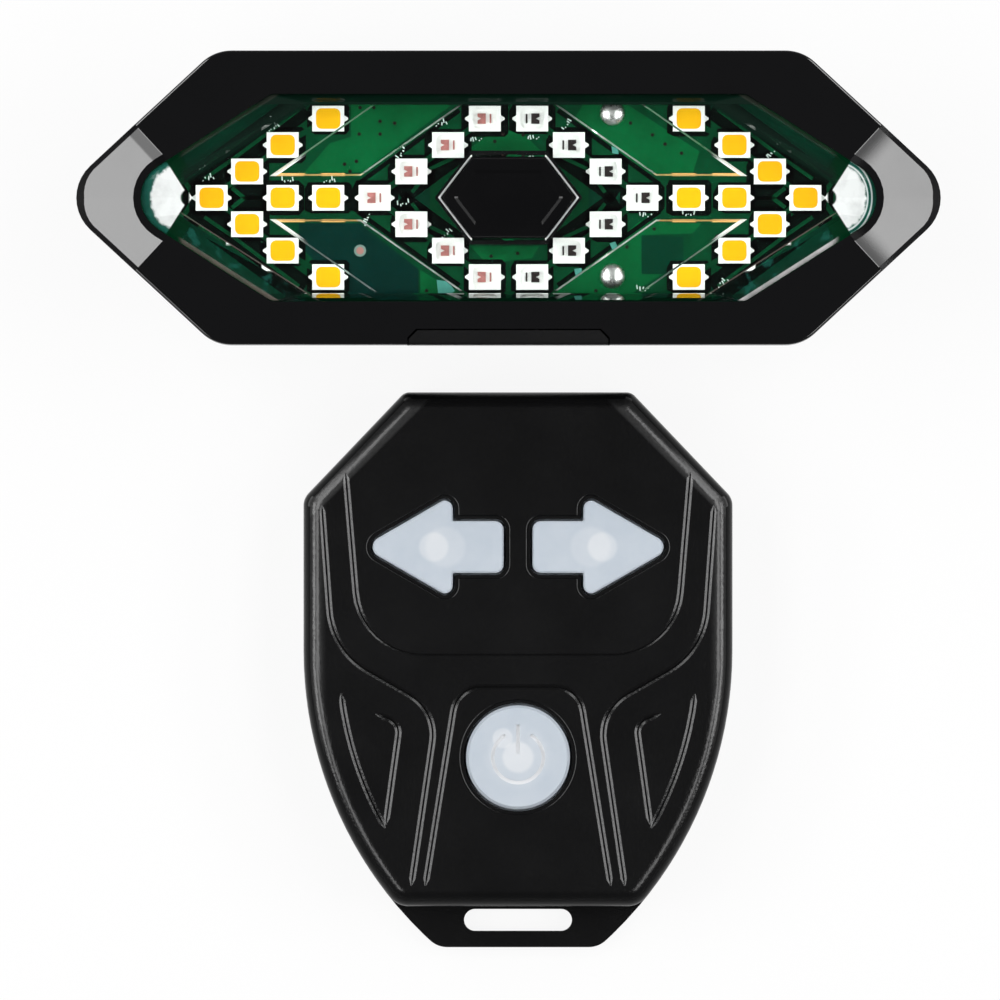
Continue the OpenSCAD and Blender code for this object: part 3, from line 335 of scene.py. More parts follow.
def clear_lens():
    """Clear acrylic that lets the lamps through. Matt layers lie on it, each a place on the lens with a
    colour: white patches on the facets at both tips and the teal rim round them; painted highlights in
    two rings at the right tip, on the slanted edges of the button hole, on the walls of the light-guide
    steps and along the edges and fold of the bevels, with teal painted highlights in patches on the
    bevels; amber painted light of the LEDs on the low guide walls and under the roof; and painted shade
    along the sheer upper edge of the window and over the upper bevels."""
    material, w = paint("lens_acrylic")
    spot, (x, y, z) = place(w, (LIGHT_MID.x, LIGHT_MID.y, top("light_lens")))
    side, up = abs(x), abs(y)
    right, lower = x.fade(-1.0, 1.0), y.fade(1.0, -1.0)
    cloud = grain(w, spot, 0.5)
    streak = grain(w, spot, 0.3)

    # Facets at the tips: white patches, their teal rim, and two rings of painted highlight at the right tip
    along = ((side - LENS_TIP_START[0]) * math.cos(WINDOW_SLOPE)
             - (up - LENS_TIP_START[1]) * math.sin(WINDOW_SLOPE))
    tip = along.fade(-0.05, 0.1) * z.fade(LENS_EDGE - 1.2, LENS_EDGE - 1.1)
    reach = (((side - LENS_TIP_MID) * 1.2).most(0.0) ** 2.0 + up ** 2.0) ** 0.5
    ragged = reach + (grain(w, spot, 1.6) - 0.5) * 0.9
    notch = ((side - LENS_TIP_APEX) ** 2.0 + up ** 2.0) ** 0.5
    block = tip * ragged.fade(TIP_BLOCK_R, TIP_BLOCK_R - 0.45) * notch.fade(TIP_NOTCH_R, TIP_NOTCH_R + 0.25)
    block = block * (0.62 + cloud * 0.7).least(1.0)
    rim = tip * reach.fade(3.0, 3.6) * (0.15 + cloud * 0.75)
    # Two rings of painted highlight round the right tip, where the lens edge catches the light
    inner_glint, outer_glint = (abs(reach - radius).fade(0.14, 0.06) for radius in TIP_GLINT_RADII)
    ring = tip * inner_glint.most(outer_glint) * right * 0.75

    # Slanted edges of the button hole: a painted highlight where their bevel catches the light
    hole = side * math.sin(HOLE_SLOPE) + up * math.cos(HOLE_SLOPE) - HOLE_TIP * math.sin(HOLE_SLOPE)
    hole_lip_highlight = hole.between(-0.05, HOLE_BEVEL, 0.05) * up.fade(HOLE_TOP, HOLE_TOP - 0.15) * z.fade(-0.27, -0.23)

    # Light-guide steps: white painted highlights on their walls and under the roof, and amber painted light
    # of the LEDs on the low walls and under the roof
    lean = side + (up - GUIDE_LOW) * (1 / math.tan(GUIDE_SLOPE))
    # White painted highlights on the two slanted guide walls
    inner_wall_glint = abs(lean - GUIDE_INNER).fade(0.6, 0.45) * (streak * 2.4 - 0.6).least(0.95).most(0.1)
    inner_wall_glint = inner_wall_glint * (0.45 + lower * 0.55)
    outer_wall_glint = abs(lean - GUIDE_OUTER).fade(0.6, 0.45) * (up.fade(4.9, 3.6) * 0.75).most(streak * 0.3)
    # Amber painted light of the LEDs along the low guide walls
    low = up.fade(GUIDE_LOW + 0.3, GUIDE_LOW + 0.22) * (streak * 2.0 - 0.2).least(0.9).most(0.25)
    wall = z.between(GUIDE_FOOT + 0.02, GUIDE_ROOF - 0.02, 0.06)
    wall = wall * lean.between(GUIDE_INNER - 0.1, GUIDE_OUTER + 0.1, 0.08)
    wall = wall * up.fade(GUIDE_LOW - 0.05, GUIDE_LOW) * up.fade(GUIDE_HIGH, GUIDE_HIGH - 0.4)
    under = z.fade(GUIDE_ROOF + 0.1, GUIDE_ROOF + 0.05) * up.fade(GUIDE_LOW - 0.05, GUIDE_LOW)
    # A white painted highlight under the roof by the far wall of the guide
    flash = under * abs(lean - GUIDE_OUTER + 0.3).fade(0.4, 0.3) * up.fade(4.9, 3.4) * 0.9
    # Amber painted light of the LEDs gleaming under the roof by the low walls
    near, far = (side.between(start, end, 0.3) for start, end in GLEAM_SPANS)
    gleam = under * up.fade(GUIDE_LOW + 0.32, GUIDE_LOW + 0.24) * near.most(far) * 0.85

    # Bevels: painted highlights along their edges and fold, teal painted highlights in patches on them, and
    # painted shade along the sheer upper edge and over the upper bevels
    edge = (WINDOW_APEX - side) * math.sin(WINDOW_SLOPE) - up * math.cos(WINDOW_SLOPE)
    bevel = z.fade(LENS_EDGE - 0.05, LENS_EDGE + 0.01) * side.fade(BEVEL_END, BEVEL_END - 1.0) * (1.0 - tip)
    brim_highlight = bevel * edge.fade(BRIM, BRIM - 0.1) * (streak * 1.8).least(1.0)
    # Brown and pale painted highlights along the bevel edges, brightest at the lower right, and a brown
    # painted highlight on the fold
    band = brim_highlight * (0.06 + lower * 0.34) * (1.0 - right * lower)
    shine = brim_highlight * lower * right * 0.95
    crease_highlight = bevel * abs(edge - BEVEL).fade(0.09, 0.04) * lower * 0.3
    # Teal painted highlights in patches on the lower bevels
    teal_highlight_blotch = bevel * edge.fade(BEVEL - 0.1, BEVEL - 0.4) * lower * cloud.fade(0.56, 0.66) * 0.35
    # Painted shade: dark along the sheer upper edge of the window and over the upper bevels
    steep_shade = (up + (1.0 - lower) * STEEP_SHADE_SHIFT).fade(WINDOW_TOP - 0.95, WINDOW_TOP - 0.75)
    steep_shade = steep_shade * (0.95 - lower * 0.4 + cloud * 0.1).least(0.98)
    bevel_shade = bevel * edge.fade(0.8, BEVEL - 0.3) * edge.fade(BEVEL + 0.5, BEVEL + 0.25)
    painted_shade = steep_shade.most(bevel_shade * (1.0 - lower) * 0.85)

    # Each layer covers the ones before it: painted shade, teal painted highlights and rim, brown and pale
    # painted highlights, white patches and highlights, amber painted light, and the white wall highlights
    frost_and_painted_light, tone = 0.0, rgb(*PATCH_AND_HIGHLIGHT_WHITE)
    for mask, colour in ((painted_shade, PAINTED_SHADE_DARK), (teal_highlight_blotch, RIM_AND_HIGHLIGHT_TEAL), (rim, RIM_AND_HIGHLIGHT_TEAL),
                         (band.most(crease_highlight), HIGHLIGHT_BROWN), (shine, HIGHLIGHT_PALE),
                         (block.most(ring).most(hole_lip_highlight), PATCH_AND_HIGHLIGHT_WHITE), ((wall * low).most(gleam), PAINTED_LED_AMBER),
                         ((wall * inner_wall_glint.most(outer_wall_glint)).most(flash), PATCH_AND_HIGHLIGHT_WHITE)):
        cover = mask + (1.0 - mask) * frost_and_painted_light
        tone = (mask / cover).mix(tone, rgb(*colour))
        frost_and_painted_light = cover
    glass = w.add("BsdfPrincipled", None, {
        "Base Color": rgb(*ACRYLIC), "Roughness": 0.015, "IOR": ACRYLIC_IOR, "Transmission Weight": 1.0})
    matt = w.add("BsdfPrincipled", None, {"Base Color": tone, "Roughness": 0.4, "Specular IOR Level": 0.06})
    shadow = w.add("LightPath", None, None, out="Is Shadow Ray")
    passing = w.add("BsdfTransparent", None, {"Color": rgb(*ACRYLIC_SHADE)})
    show(w, shadow.blend(frost_and_painted_light.blend(glass, matt), passing))
    return material


SILICONE_BLUE = (0.475, 0.538, 0.609)
SILICONE_PALE = (0.775, 0.789, 0.807)
SIGN_R = 4.0


def silicone(name, glows, sunk=0.0, level=0.0):
    """Translucent silicone, paler where a glow lies: a place in metres, a radius in millimetres and a
    weight. A sign round the last glow's middle, sunk under the level of the key's top, is paler too."""
    material, w = paint(name)
    spot, (x, y, z) = place(w, (0, 0, 0))
    cloud = grain(w, spot, 0.35)
    pale = cloud * 0.3
    for centre, radius, weight in glows:
        pale = apart(x, y, centre).fade(radius * 1.15, radius * 0.85) * weight + pale
    if sunk:
        sign = apart(x, y, glows[-1][0]).fade(SIGN_R + 0.2, SIGN_R)
        pale = z.fade(level / MM - 0.02, level / MM - 0.06) * sign * sunk + pale
    show(w, w.add("BsdfPrincipled", None, {
        "Base Color": pale.mix(rgb(*SILICONE_BLUE), rgb(*SILICONE_PALE)), "Roughness": 0.38 + cloud * 0.1,
        "Subsurface Weight": 0.25, "Subsurface Radius": (1.0, 1.0, 1.0), "Subsurface Scale": 0.8 * MM}))
    return material


def amber_gel():
    """Yellow phosphor gel, deeper towards the tips of the light."""
    material, w = paint("amber_phosphor")
    spot, (x, _, _) = place(w, LIGHT_MID)
    warm = abs(x).fade(17.0, 30.0) * 0.6 + grain(w, spot, 0.8) * 0.4
    show(w, w.add("BsdfPrincipled", None, {
        "Base Color": warm.mix(rgb(0.86, 0.46, 0.0), rgb(0.86, 0.38, 0.0)), "Roughness": 0.5,
        "Specular IOR Level": 0.1}))
    return material


def red_die():
    """Bare die, dark on the right half of the light and rosy on the left half."""
    material, w = paint("red_die")
    spot, (x, _, _) = place(w, LIGHT_MID)
    rosy = x.fade(1.0, -1.0) * (0.25 + grain(w, spot, 1.5) * 0.7)
    show(w, w.add("BsdfPrincipled", None, {
        "Base Color": rosy.mix(rgb(0.012, 0.006, 0.006), rgb(0.62, 0.22, 0.2)), "Roughness": 0.3}))
    return material


SATIN = (0.003, 0.003, 0.0032)
GLOSS_BLACK = bezel_gloss()
KEY_BLACK = moulded("key_black", (0.003, 0.003, 0.0034), gloss=0.17, tooth=0.0, waves=6.0, shine=0.3)
FLAP_BLACK = moulded("flap_black", (0.0032, 0.0032, 0.0035), gloss=0.32, tooth=0.2, waves=3.0, shine=0.26)
SATIN_BLACK = moulded("satin_black", SATIN, gloss=0.2, tooth=0.45, waves=3.4, wear=0.35, shine=0.45,
                      sheen=brow)
# Copies of the black finishes with weaker reflection for the sloping faces: painted shade that keeps the
# floor's reflection off them
SATIN_SHADED_SIDE = moulded("satin_shaded_side", SATIN, gloss=0.3, tooth=0.45, waves=3.4, shine=0.11)
GLOSS_SHADED_SIDE = moulded("gloss_shaded_side", BEZEL_BLACK, gloss=0.16, tooth=0.0, waves=6.0, shine=0.25)
BACK_BLACK = moulded("back_black", (0.010, 0.010, 0.011), gloss=0.48, tooth=0.5, waves=4.0)
RUBBER = moulded("rubber_black", (0.011, 0.011, 0.012), gloss=0.55, tooth=0.3, waves=3.0)
SEAL_RED = moulded("seal_red", (0.35, 0.05, 0.03), gloss=0.5, tooth=0.2, waves=3.0)
LENS = clear_lens()
MASK_BASE = solder_mask("mask_base", (0.0005, 0.022, 0.008), (0.001, 0.062, 0.021))
MASK_BLACK_AND_SHADOW = solder_mask("mask_black_and_shadow", (0.0003, 0.0012, 0.0008), (0.0006, 0.004, 0.0025))
MASK_GREEN = solder_mask("mask_green", (0.0008, 0.046, 0.012), (0.0015, 0.118, 0.033))
MASK_DEEP = solder_mask("mask_deep", (0.0005, 0.016, 0.008), (0.001, 0.040, 0.020))
MASK_TEAL = solder_mask("mask_teal", (0.0004, 0.011, 0.009), (0.0008, 0.025, 0.020))
LED_WHITE = bare("led_white", (0.90, 0.90, 0.88), gloss=0.35, drift=0.05)
LEGEND = bare("legend_white", (0.60, 0.72, 0.68), gloss=0.6, drift=0.5, shine=0.2)
PAD_PINK = bare("pad_pink", (0.34, 0.16, 0.14), gloss=0.5, shine=0.2)
PAD_RING = bare("pad_ring", (0.14, 0.22, 0.19), gloss=0.5, shine=0.2)
TEAL_PALE = bare("teal_pale", (0.06, 0.28, 0.23), gloss=0.5, drift=0.7, shine=0.2)
VIA_DARK = bare("via_dark", (0.010, 0.005, 0.004), gloss=0.5, shine=0.05)
CHIP = bare("chip_black", (0.02, 0.021, 0.023), gloss=0.45)
LEAD_RED = bare("lead_red", (0.45, 0.02, 0.02), gloss=0.45)
AMBER = amber_gel()
DIE = red_die()
STEEL = metal("steel", (0.62, 0.62, 0.64), gloss=0.28)
SOLDER = metal("solder", (0.95, 0.94, 0.92), gloss=0.28)
BRASS = metal("brass", (0.72, 0.56, 0.27), gloss=0.3)
FOIL = metal("battery_foil", (0.50, 0.53, 0.56), gloss=0.4)


def dress(material, *nodes):
    """Gives CAD nodes a finish."""
    for node in nodes:
        slots = frame["nodes"][node].data.materials
        slots.clear()
        slots.append(material)


WELD = 1.5e-6
FLAT_ANGLE = math.radians(0.4)
SQUARE_ANGLE = math.radians(80)
LEVEL_GAP = 1e-6
SIDE_LEAN = 0.72


def soften(work, level, width):
    """Rounds the square edges that lie at a level: the rims of the key openings."""
    rims = [e for e in work.edges if len(e.link_faces) == 2 and e.calc_face_angle() > SQUARE_ANGLE
            and all(abs(v.co.z - level) < LEVEL_GAP for v in e.verts)]
    bmesh.ops.bevel(work, geom=rims, offset=width, segments=3, profile=0.5, affect="EDGES")


def skin(node, material, angle=32.0, side=None, rim=0.0):
    """A welded copy of a CAD node that shades smoothly over edges under the angle and stands for it. The
    faces that lean past SIDE_LEAN take the side finish, a copy with weaker reflection: painted shade that
    keeps the floor's reflection off them. The square rims at its top are rounded."""
    source = frame["nodes"][node]
    mesh = source.data.copy()
    work = bmesh.new()
    work.from_mesh(mesh)
    bmesh.ops.remove_doubles(work, verts=work.verts, dist=WELD)
    bmesh.ops.dissolve_limit(work, angle_limit=FLAT_ANGLE, verts=work.verts, edges=work.edges)
    if rim:
        soften(work, top(node), rim)
    work.to_mesh(mesh)
    work.free()
    for stale in ("custom_normal", "sharp_edge"):
        if stale in mesh.attributes:
            mesh.attributes.remove(mesh.attributes[stale])
    mesh.polygons.foreach_set("use_smooth", np.ones(len(mesh.polygons), bool))
    mesh.set_sharp_from_angle(angle=math.radians(angle))
    mesh.materials.clear()
    mesh.materials.append(material)
    # Faces that lean past SIDE_LEAN take the shaded copy
    if side:
        mesh.materials.append(side)
        normals = np.empty(len(mesh.polygons) * 3)
        mesh.polygons.foreach_get("normal", normals)
        mesh.polygons.foreach_set("material_index", (normals[2::3] < SIDE_LEAN).astype(np.int32))
    made = bpy.data.objects.new(node + "_skin", mesh)
    bpy.context.scene.collection.objects.link(made)
    even = made.modifiers.new("even", "WEIGHTED_NORMAL")
    even.keep_sharp = True
    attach(made, source["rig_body"])
    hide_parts(node)


FINE_ANGLE = 13.5
KEY_RIM = 0.12 * MM
skin("light_bezel", GLOSS_BLACK, FINE_ANGLE, side=GLOSS_SHADED_SIDE)
skin("mode_button", KEY_BLACK, FINE_ANGLE)
skin("usb_cover", FLAP_BLACK, FINE_ANGLE)
skin("light_rear_shell", BACK_BLACK)
skin("light_lens", LENS, FINE_ANGLE)
skin("remote_top_shell", SATIN_BLACK, FINE_ANGLE, side=SATIN_SHADED_SIDE, rim=KEY_RIM)
skin("remote_base", SATIN_BLACK, side=SATIN_SHADED_SIDE)
skin("seat_post_saddle", BACK_BLACK)
skin("saddle_pad", RUBBER)
skin("battery_cap", SATIN_BLACK)

STEM_OFF, STEM_R, STEM_GLOW = 0.48, 1.6, 0.34
ROOT_OFF, ROOT_R, ROOT_GLOW = 0.8, 2.2, 0.2
for node in ("left_button", "right_button"):
    mid = middle(node)
    outward = Vector((math.copysign(MM, mid.x - REMOTE_MID.x), 0, 0))
    glows = [(mid + outward * STEM_OFF, STEM_R, STEM_GLOW), (mid - outward * ROOT_OFF, ROOT_R, ROOT_GLOW)]
    skin(node, silicone(node + "_silicone", glows))
POWER_MID = middle("power_button")
BLOB_MID = POWER_MID + Vector((-1.7, 2.1, 0)) * MM
POWER_GLOWS = [(BLOB_MID, 1.1, 0.35), (POWER_MID, 1.7, 0.42), (POWER_MID, 3.4, 0.12)]
SIGN_GLOW = 0.75
skin("power_button", silicone("power_silicone", POWER_GLOWS, SIGN_GLOW, top("power_button")))

dress(MASK_BASE, "led_board", "remote_board")
dress(LED_WHITE, "amber_leds_left", "amber_leds_right", "red_leds", "remote_led")
dress(AMBER, "amber_fill_left", "amber_fill_right")
dress(DIE, "red_chips")
dress(STEEL, "mode_switch", "usb_socket", "usb_hinge_pin", "shell_screws", "saddle_screws", "key_switches",
      "coin_cell", "remote_screws")
dress(CHIP, "board_parts", "usb_tongue")
dress(RUBBER, "light_gasket", "battery_pad")
dress(SEAL_RED, "cap_seal")
dress(FOIL, "battery")
dress(LEAD_RED, "battery_leads")
dress(BRASS, "cell_contact")


def piece(name, points, faces, material, body, smooth):
    """A new mesh that rides on a body."""
    mesh = bpy.data.meshes.new(name)
    mesh.from_pydata(points.tolist(), [], faces)
    mesh.polygons.foreach_set("use_smooth", np.full(len(mesh.polygons), smooth))
    mesh.materials.append(material)
    made = bpy.data.objects.new(name, mesh)
    bpy.context.scene.collection.objects.link(made)
    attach(made, body)


def prisms(outlines, low, high):
    """Upright prisms on flat outlines, in metres: each outline is a ring at the low height and the same
    ring at the high height, joined by one face per side and closed by one face at each end."""
    points, faces, first = [], [], 0
    for outline in outlines:
        ring = np.asarray(outline, float)
        turn = np.roll(ring, -1, axis=0)
        if (ring[:, 0] * turn[:, 1] - turn[:, 0] * ring[:, 1]).sum() < 0:
            ring = ring[::-1]
        n = len(ring)
        points.append(np.column_stack([np.tile(ring, (2, 1)), np.repeat([low, high], n)]))
        here = np.arange(n)
        there = (here + 1) % n
        faces += (first + np.column_stack([here, there, there + n, here + n])).tolist()
        faces += [(first + here[::-1]).tolist(), (first + n + here).tolist()]
        first += 2 * n
    return np.vstack(points), faces


def domes(centres, radius, height, low, around=20, rings=6):
    """Round caps: rings whose radius falls as the cosine and whose height grows as the sine of an angle
    from 0 to 90 degrees, closed at the top by a point and at the foot by one face."""
    turn = np.linspace(0, 2 * np.pi, around, endpoint=False)
    rise = np.linspace(0, np.pi / 2, rings, endpoint=False)
    ring = np.stack(np.broadcast_arrays(np.cos(rise)[:, None] * np.cos(turn) * radius,
                                        np.cos(rise)[:, None] * np.sin(turn) * radius,
                                        np.sin(rise)[:, None] * height), axis=-1).reshape(-1, 3)
    cap = np.vstack([ring, [[0, 0, height]]])
    here = np.arange(around)
    there = (here + 1) % around
    sides = [np.column_stack([k * around + here, k * around + there, (k + 1) * around + there,
                              (k + 1) * around + here]) for k in range(rings - 1)]
    crown = np.column_stack([(rings - 1) * around + here, (rings - 1) * around + there,
                             np.full(around, rings * around)])
    points, faces = [], []
    for k, (x, y) in enumerate(centres):
        points.append(cap + [x, y, low])
        faces += (np.vstack(sides) + k * len(cap)).tolist() + (crown + k * len(cap)).tolist()
        faces.append((here[::-1] + k * len(cap)).tolist())
    return np.vstack(points), faces


COPPER_T = 0.04 * MM


def on_board(outline):
    """An outline in millimetres from the middle of the light, as places in metres."""
    return np.asarray(outline, float) * MM + [LIGHT_MID.x, LIGHT_MID.y]


def layer(outlines, height):
    """Flat prisms on the LED board, with their height in layers of copper."""
    return prisms([on_board(outline) for outline in outlines], BOARD_TOP, BOARD_TOP + COPPER_T * height)


def strip(a, b, width):
    """The four corners of a straight band from a to b."""
    a, b = np.asarray(a, float), np.asarray(b, float)
    way = (b - a) / np.linalg.norm(b - a)
    off = np.array([-way[1], way[0]]) * width / 2
    return np.array([a - off, b - off, b + off, a + off])


def disc(centre, radius, n=12):
    """The n corners of a round outline."""
    turn = np.linspace(0, 2 * np.pi, n, endpoint=False)
    return np.asarray(centre, float) + radius * np.column_stack([np.cos(turn), np.sin(turn)])


def arms(spots, width):
    """Bands from spot to spot on all four arms of a symmetric pattern."""
    return [strip(np.multiply(a, (sx, sy)), np.multiply(b, (sx, sy)), width)
            for sx in (-1, 1) for sy in (-1, 1) for a, b in zip(spots, spots[1:])]


PITCH = 2.9
AMBER_SPOTS = [(32.6, 0.0), (28.7, PITCH), (24.8, 2 * PITCH), (19.8, 3 * PITCH)]
SHAFT = [(24.8, 0.0), (19.8, 0.0)]
RED = [(14.7 - 4.03 * k, PITCH * k) for k in range(4)]
LEDS = sorted({(sx * x, sy * y) for sx in (-1, 1) for sy in (-1, 1) for x, y in AMBER_SPOTS + SHAFT + RED})
GREEN_POURS = [
    [(-22.6, 2.6), (-19.6, 6.0), (-17.3, 6.7), (-17.3, 10.5), (-7.5, 10.9), (-6.4, 10.1), (-16.1, 2.8)],
    [(-9.7, -7.9), (-9.7, -11.0), (-4.7, -11.0)],
    [(8.4, 10.7), (12.8, 10.4), (21.0, 5.1), (20.2, 2.6), (15.6, 2.6), (7.2, 8.6)],
    [(14.4, -2.6), (21.2, -2.8), (20.2, -3.9), (14.6, -4.1), (14.6, -8.4), (16.8, -8.4), (12.8, -11.0),
     (4.2, -11.0)],
    [(-4.6, 5.2), (3.5, 5.2), (1.3, 7.4), (-1.6, 7.4)],
    [(-4.2, -5.3), (3.4, -5.3), (2.6, -6.6), (-2.4, -7.2)],
]
TEAL_POURS = [[(-23.0, -2.8), (-16.4, -2.8), (-9.9, -7.8), (-9.9, -11.0), (-17.2, -11.0), (-23.0, -5.2)]]
DEEP_POURS = [
    [(-12.6, 1.3), (-8.6, 1.3), (-8.6, -1.1), (-12.6, -1.1)],
    [(8.8, 2.4), (12.6, 1.4), (12.6, -1.2), (8.8, -2.2)],
    [(14.6, -4.1), (19.2, -4.3), (19.2, -8.4), (14.6, -8.3)],
]
RIM_BANDS = arms([(35.0, 3.1), (22.6, 11.0)], 2.4)
TEAL_SPOTS = [
    [(-7.9, -9.0), (-6.6, -9.2), (-5.9, -10.2), (-6.6, -10.9), (-7.7, -10.7)],
    [(7.2, -7.8), (8.0, -7.7), (8.1, -8.4), (7.4, -8.7)],
    [(11.3, 5.7), (12.0, 5.4), (12.1, 4.8), (11.4, 4.9)],
    [(11.1, -5.0), (11.7, -4.8), (12.0, -5.4), (11.4, -5.7)],
]
VIAS = [(-16.3, 9.9), (-14.8, 9.9), (-14.1, 8.4), (-12.5, 8.2), (-16.4, 7.0), (-14.1, 7.0), (-16.7, 4.0),
        (-18.0, 3.7), (-17.4, 2.9), (-0.6, 7.0), (-1.5, 6.2), (1.6, 6.9), (13.4, 8.2), (15.8, 6.9),
        (17.2, 5.9), (19.0, 4.9), (1.0, -6.1), (-1.9, -6.4), (-9.0, -10.2), (13.0, -5.4), (16.0, -3.4),
        (9.6, -10.2)]
VIA_R = 0.2
BLOBS = [(11.4, 9.3), (11.4, -8.6)]
BLOB_R, BLOB_H = 1.4 * MM, 0.75 * MM
PAD, PAD_R, PAD_RING_R = (-16.3, -5.8), 0.42, 0.672


def moat(spot, k):
    """A dark patch round one LED, an uneven eight-sided outline."""
    x, y = 2.45 + 0.15 * math.sin(3 * k), 1.85 + 0.15 * math.cos(5 * k)
    cut = 0.55 + 0.2 * math.sin(7 * k)
    ring = [(x, y - cut), (x - cut, y), (cut - x, y), (-x, y - 2 * cut), (-x, cut - y), (2 * cut - x, -y),
            (x - cut, -y), (x, cut - y)]
    return np.asarray(ring) + spot


DARK_PATCHES_AND_SHADOW = [moat(spot, k) for k, spot in enumerate(LEDS)]
# Dark bands along the arms; the narrow last one, beside the light guide's near wall, is a painted shadow of
# that wall's edge
for spots, width in (([(34.6, 0.9), (22.4, 9.9)], 2.4), ([(31.2, 0.6), (26.6, 0.6)], 1.4),
                     ([(11.9, 0.2), (4.6, 5.6)], 2.2), ([(16.6, 1.5), (5.4, 9.6)], 0.5)):
    DARK_PATCHES_AND_SHADOW += arms(spots, width)
TRACKS = []
for spots, width in ((RED, 0.7), (AMBER_SPOTS, 0.6), ([(33.4, 2.1), (30.2, 4.3), (23.0, 9.7)], 0.4),
                     ([(30.4, 1.1), (29.0, 0.0), (27.2, 0.0)], 0.45),
                     ([(10.6, 0.6), (8.6, 3.2), (6.0, 4.4)], 0.4)):
    TRACKS += arms(spots, width)

TICK_ROWS = [(-32.8, 2.1, 10), (-24.1, 1.8, 0), (-19.5, 1.8, 5), (-7.2, 8.1, 12), (-3.4, 6.3, 8),
             (-11.6, 5.0, 60), (-11.4, -0.7, 15), (-6.6, -3.9, 40), (-15.4, -2.3, 70), (-25.6, 7.7, 30),
             (2.9, 6.5, 5), (6.6, 8.1, 50), (15.2, -2.0, 0), (19.9, -1.9, 0), (23.7, -9.3, 35),
             (14.9, -10.1, 0), (28.9, 4.7, 50)]
TICK_COUNT, TICK_GAP, TICK_H, TICK_W = 5, 0.3, 0.5, 0.13


def tick_row(x, y, turn):
    """A row of uneven leaning ticks, the row turned by an angle in degrees."""
    k = np.arange(TICK_COUNT)
    foot = np.column_stack([(k - TICK_COUNT / 2) * TICK_GAP, 0.12 * np.sin(3 * k + x)])
    head = foot + np.column_stack([0.1 * np.cos(2 * k + y), TICK_H * (0.55 + 0.45 * np.sin(5 * k + x))])
    c, s = math.cos(math.radians(turn)), math.sin(math.radians(turn))
    spin = np.array([(c, s), (-s, c)])
    return [strip(a, b, TICK_W) for a, b in zip(foot @ spin + [x, y], head @ spin + [x, y])]


TICKS = [tick for row in TICK_ROWS for tick in tick_row(*row)]
for label, (points, faces), material, slot, smooth in (
        ("board_copper_green", layer(GREEN_POURS, 1.0), MASK_GREEN, "board_green", False),
        ("board_copper_deep", layer(DEEP_POURS + RIM_BANDS, 1.1), MASK_DEEP, "board_green", False),
        ("board_copper_teal", layer(TEAL_POURS, 1.0), MASK_TEAL, "board_green", False),
        ("board_dark_and_shadow", layer(DARK_PATCHES_AND_SHADOW, 1.3), MASK_BLACK_AND_SHADOW, "board_green", False),
        ("board_tracks", layer(TRACKS, 1.5), MASK_BASE, "board_green", False),
        ("board_vias", layer([disc(via, VIA_R) for via in VIAS], 1.6), VIA_DARK, "part_dark", False),
        ("board_solder", domes(on_board(BLOBS), BLOB_R, BLOB_H, BOARD_TOP), SOLDER, "switch_metal", True),
        ("board_pad", layer([disc(PAD, PAD_R)], 2.2), PAD_PINK, "switch_metal", False),
        ("board_pad_ring", layer([disc(PAD, PAD_RING_R)], 2.0), PAD_RING, "switch_metal", False),
        ("board_teal_spots", layer(TEAL_SPOTS, 1.8), TEAL_PALE, "board_green", False),
        ("board_legend", layer(TICKS, 1.9), LEGEND, "led_white", False)):
    piece(label, points, faces, material, "light", smooth)


def lamp(name, spot, aim, size, radiance):
    """A rectangular lamp at a spot that faces the aim; its power is its radiance times pi times its area."""
    data = bpy.data.lights.new(name, "AREA")
    data.shape = "RECTANGLE"
    data.size, data.size_y = size
    data.energy = radiance * math.pi * size[0] * size[1]
    made = bpy.data.objects.new(name, data)
    made.location = spot
    made.rotation_euler = (Vector(aim) - Vector(spot)).to_track_quat("-Z", "Y").to_euler()
    bpy.context.scene.collection.objects.link(made)


LAMPS = [("softbox_", (0.46, 0, 0.93), (1.0, 0.28), 4.3), ("edge_strip_", (0.80, 0, 0.66), (0.62, 0.2), 7.2),
         ("upper_fill_", (0.54, 0.57, 0.62), (0.25, 0.5), 3.8)]
for label, side in (("left", -1), ("right", 1)):
    for kind, (x, y, z), size, radiance in LAMPS:
        lamp(kind + label, (side * x, y, z), (0, 0, 0), size, radiance)

SKY_OVERHEAD, SKY_SIDES = 0.04, 0.12
SKY_TURN = 0.8
SKY_EDGE = 0.06


def seen(wire):
    """1 for the rays that look at the backdrop: from the camera, off a gloss or through the lens."""
    rays = wire.add("LightPath").socket.node.outputs
    eye, gloss, through = (Wire(wire.tree, rays["Is %s Ray" % kind])
                           for kind in ("Camera", "Glossy", "Transmission"))
    return eye.most(gloss).most(through)


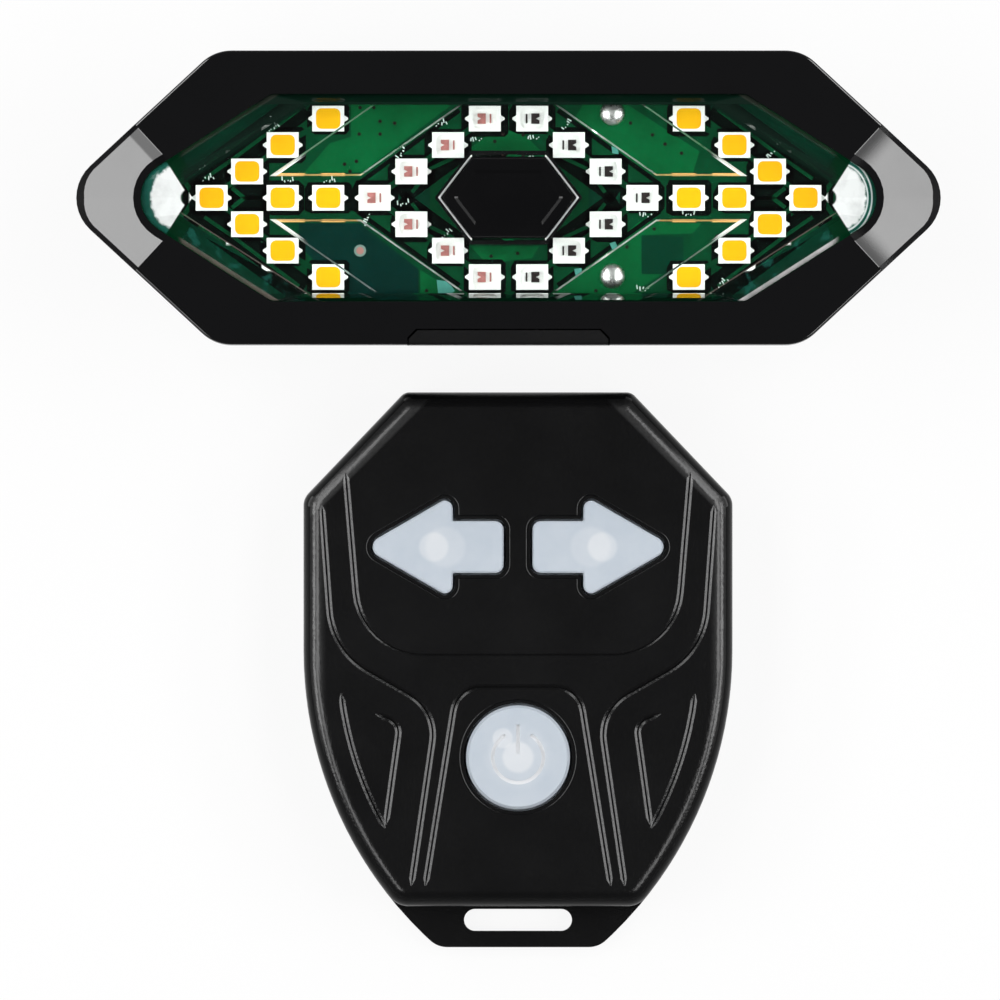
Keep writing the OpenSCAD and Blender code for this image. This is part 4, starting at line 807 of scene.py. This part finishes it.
# A dim sky, white below the floor's rim, where a view's camera may stop short of the floor
world = bpy.data.worlds.new("studio")
bpy.context.scene.world = world
world.use_nodes = True
world.node_tree.nodes.clear()
w = Wire(world.node_tree)
way = w.add("TexCoord", None, None, out="Generated")
height = w.add("SeparateXYZ", None, {0: way}, out="Z")
dim = height.fade(SKY_TURN, 0.0) * SKY_SIDES + SKY_OVERHEAD
white = seen(w) * height.fade(SKY_EDGE + 0.01, SKY_EDGE)
sky = w.add("Background", None, {"Color": rgb(1, 1, 1), "Strength": dim.most(white)})
world_end = world.node_tree.nodes.new("ShaderNodeOutputWorld")
world.node_tree.links.new(sky.socket, world_end.inputs["Surface"])

FLOOR_R, FLOOR_RISE = 8.0, 0.7
FLOOR_Z = -0.05 * MM
FLOOR_TONE = 0.9
FLOOR_GLOW = 0.9


def dish(radius, rise, around=96, rings=8):
    """A flat disc whose rim curls up: a quarter circle, in rings, carried round the disc's edge."""
    turn = np.linspace(0, 2 * np.pi, around, endpoint=False)
    curl = np.linspace(0, np.pi / 2, rings)[:, None]
    reach = radius + rise * np.sin(curl)
    points = np.stack(np.broadcast_arrays(reach * np.cos(turn), reach * np.sin(turn),
                                          FLOOR_Z + rise * (1 - np.cos(curl))), axis=-1).reshape(-1, 3)
    here = np.arange(around)
    there = (here + 1) % around
    walls = [np.column_stack([k + here, k + here + around, k + there + around, k + there])
             for k in range(0, (rings - 1) * around, around)]
    return points, [here.tolist()] + np.vstack(walls).tolist()


points, faces = dish(FLOOR_R, FLOOR_RISE)
floor_mesh = bpy.data.meshes.new("floor")
floor_mesh.from_pydata(points.tolist(), [], faces)
floor = bpy.data.objects.new("floor", floor_mesh)
bpy.context.scene.collection.objects.link(floor)
floor_white, w = paint("floor_white")
matt = w.add("BsdfDiffuse", None, {"Color": rgb(FLOOR_TONE, FLOOR_TONE, FLOOR_TONE)})
bright = w.add("Emission", None, {"Color": rgb(1, 1, 1), "Strength": 1.0})
show(w, (seen(w) * FLOOR_GLOW).blend(matt, bright))
floor_mesh.materials.append(floor_white)

PICTURE = 110.0 * MM
FOCAL = 1600.0
SENSOR = 36.0
CLIP_END = 50.0
AIM = Vector((-0.935 * MM, -0.03 * MM, 16.0 * MM))
camera_data = bpy.data.cameras.new("camera")
camera_data.lens = FOCAL
camera_data.sensor_width = SENSOR
camera_data.clip_end = CLIP_END
camera = bpy.data.objects.new("camera", camera_data)
camera.location = AIM + Vector((0, 0, PICTURE * FOCAL / SENSOR))
bpy.context.scene.collection.objects.link(camera)
bpy.context.scene.camera = camera
bpy.context.scene.view_settings.view_transform = "Standard"
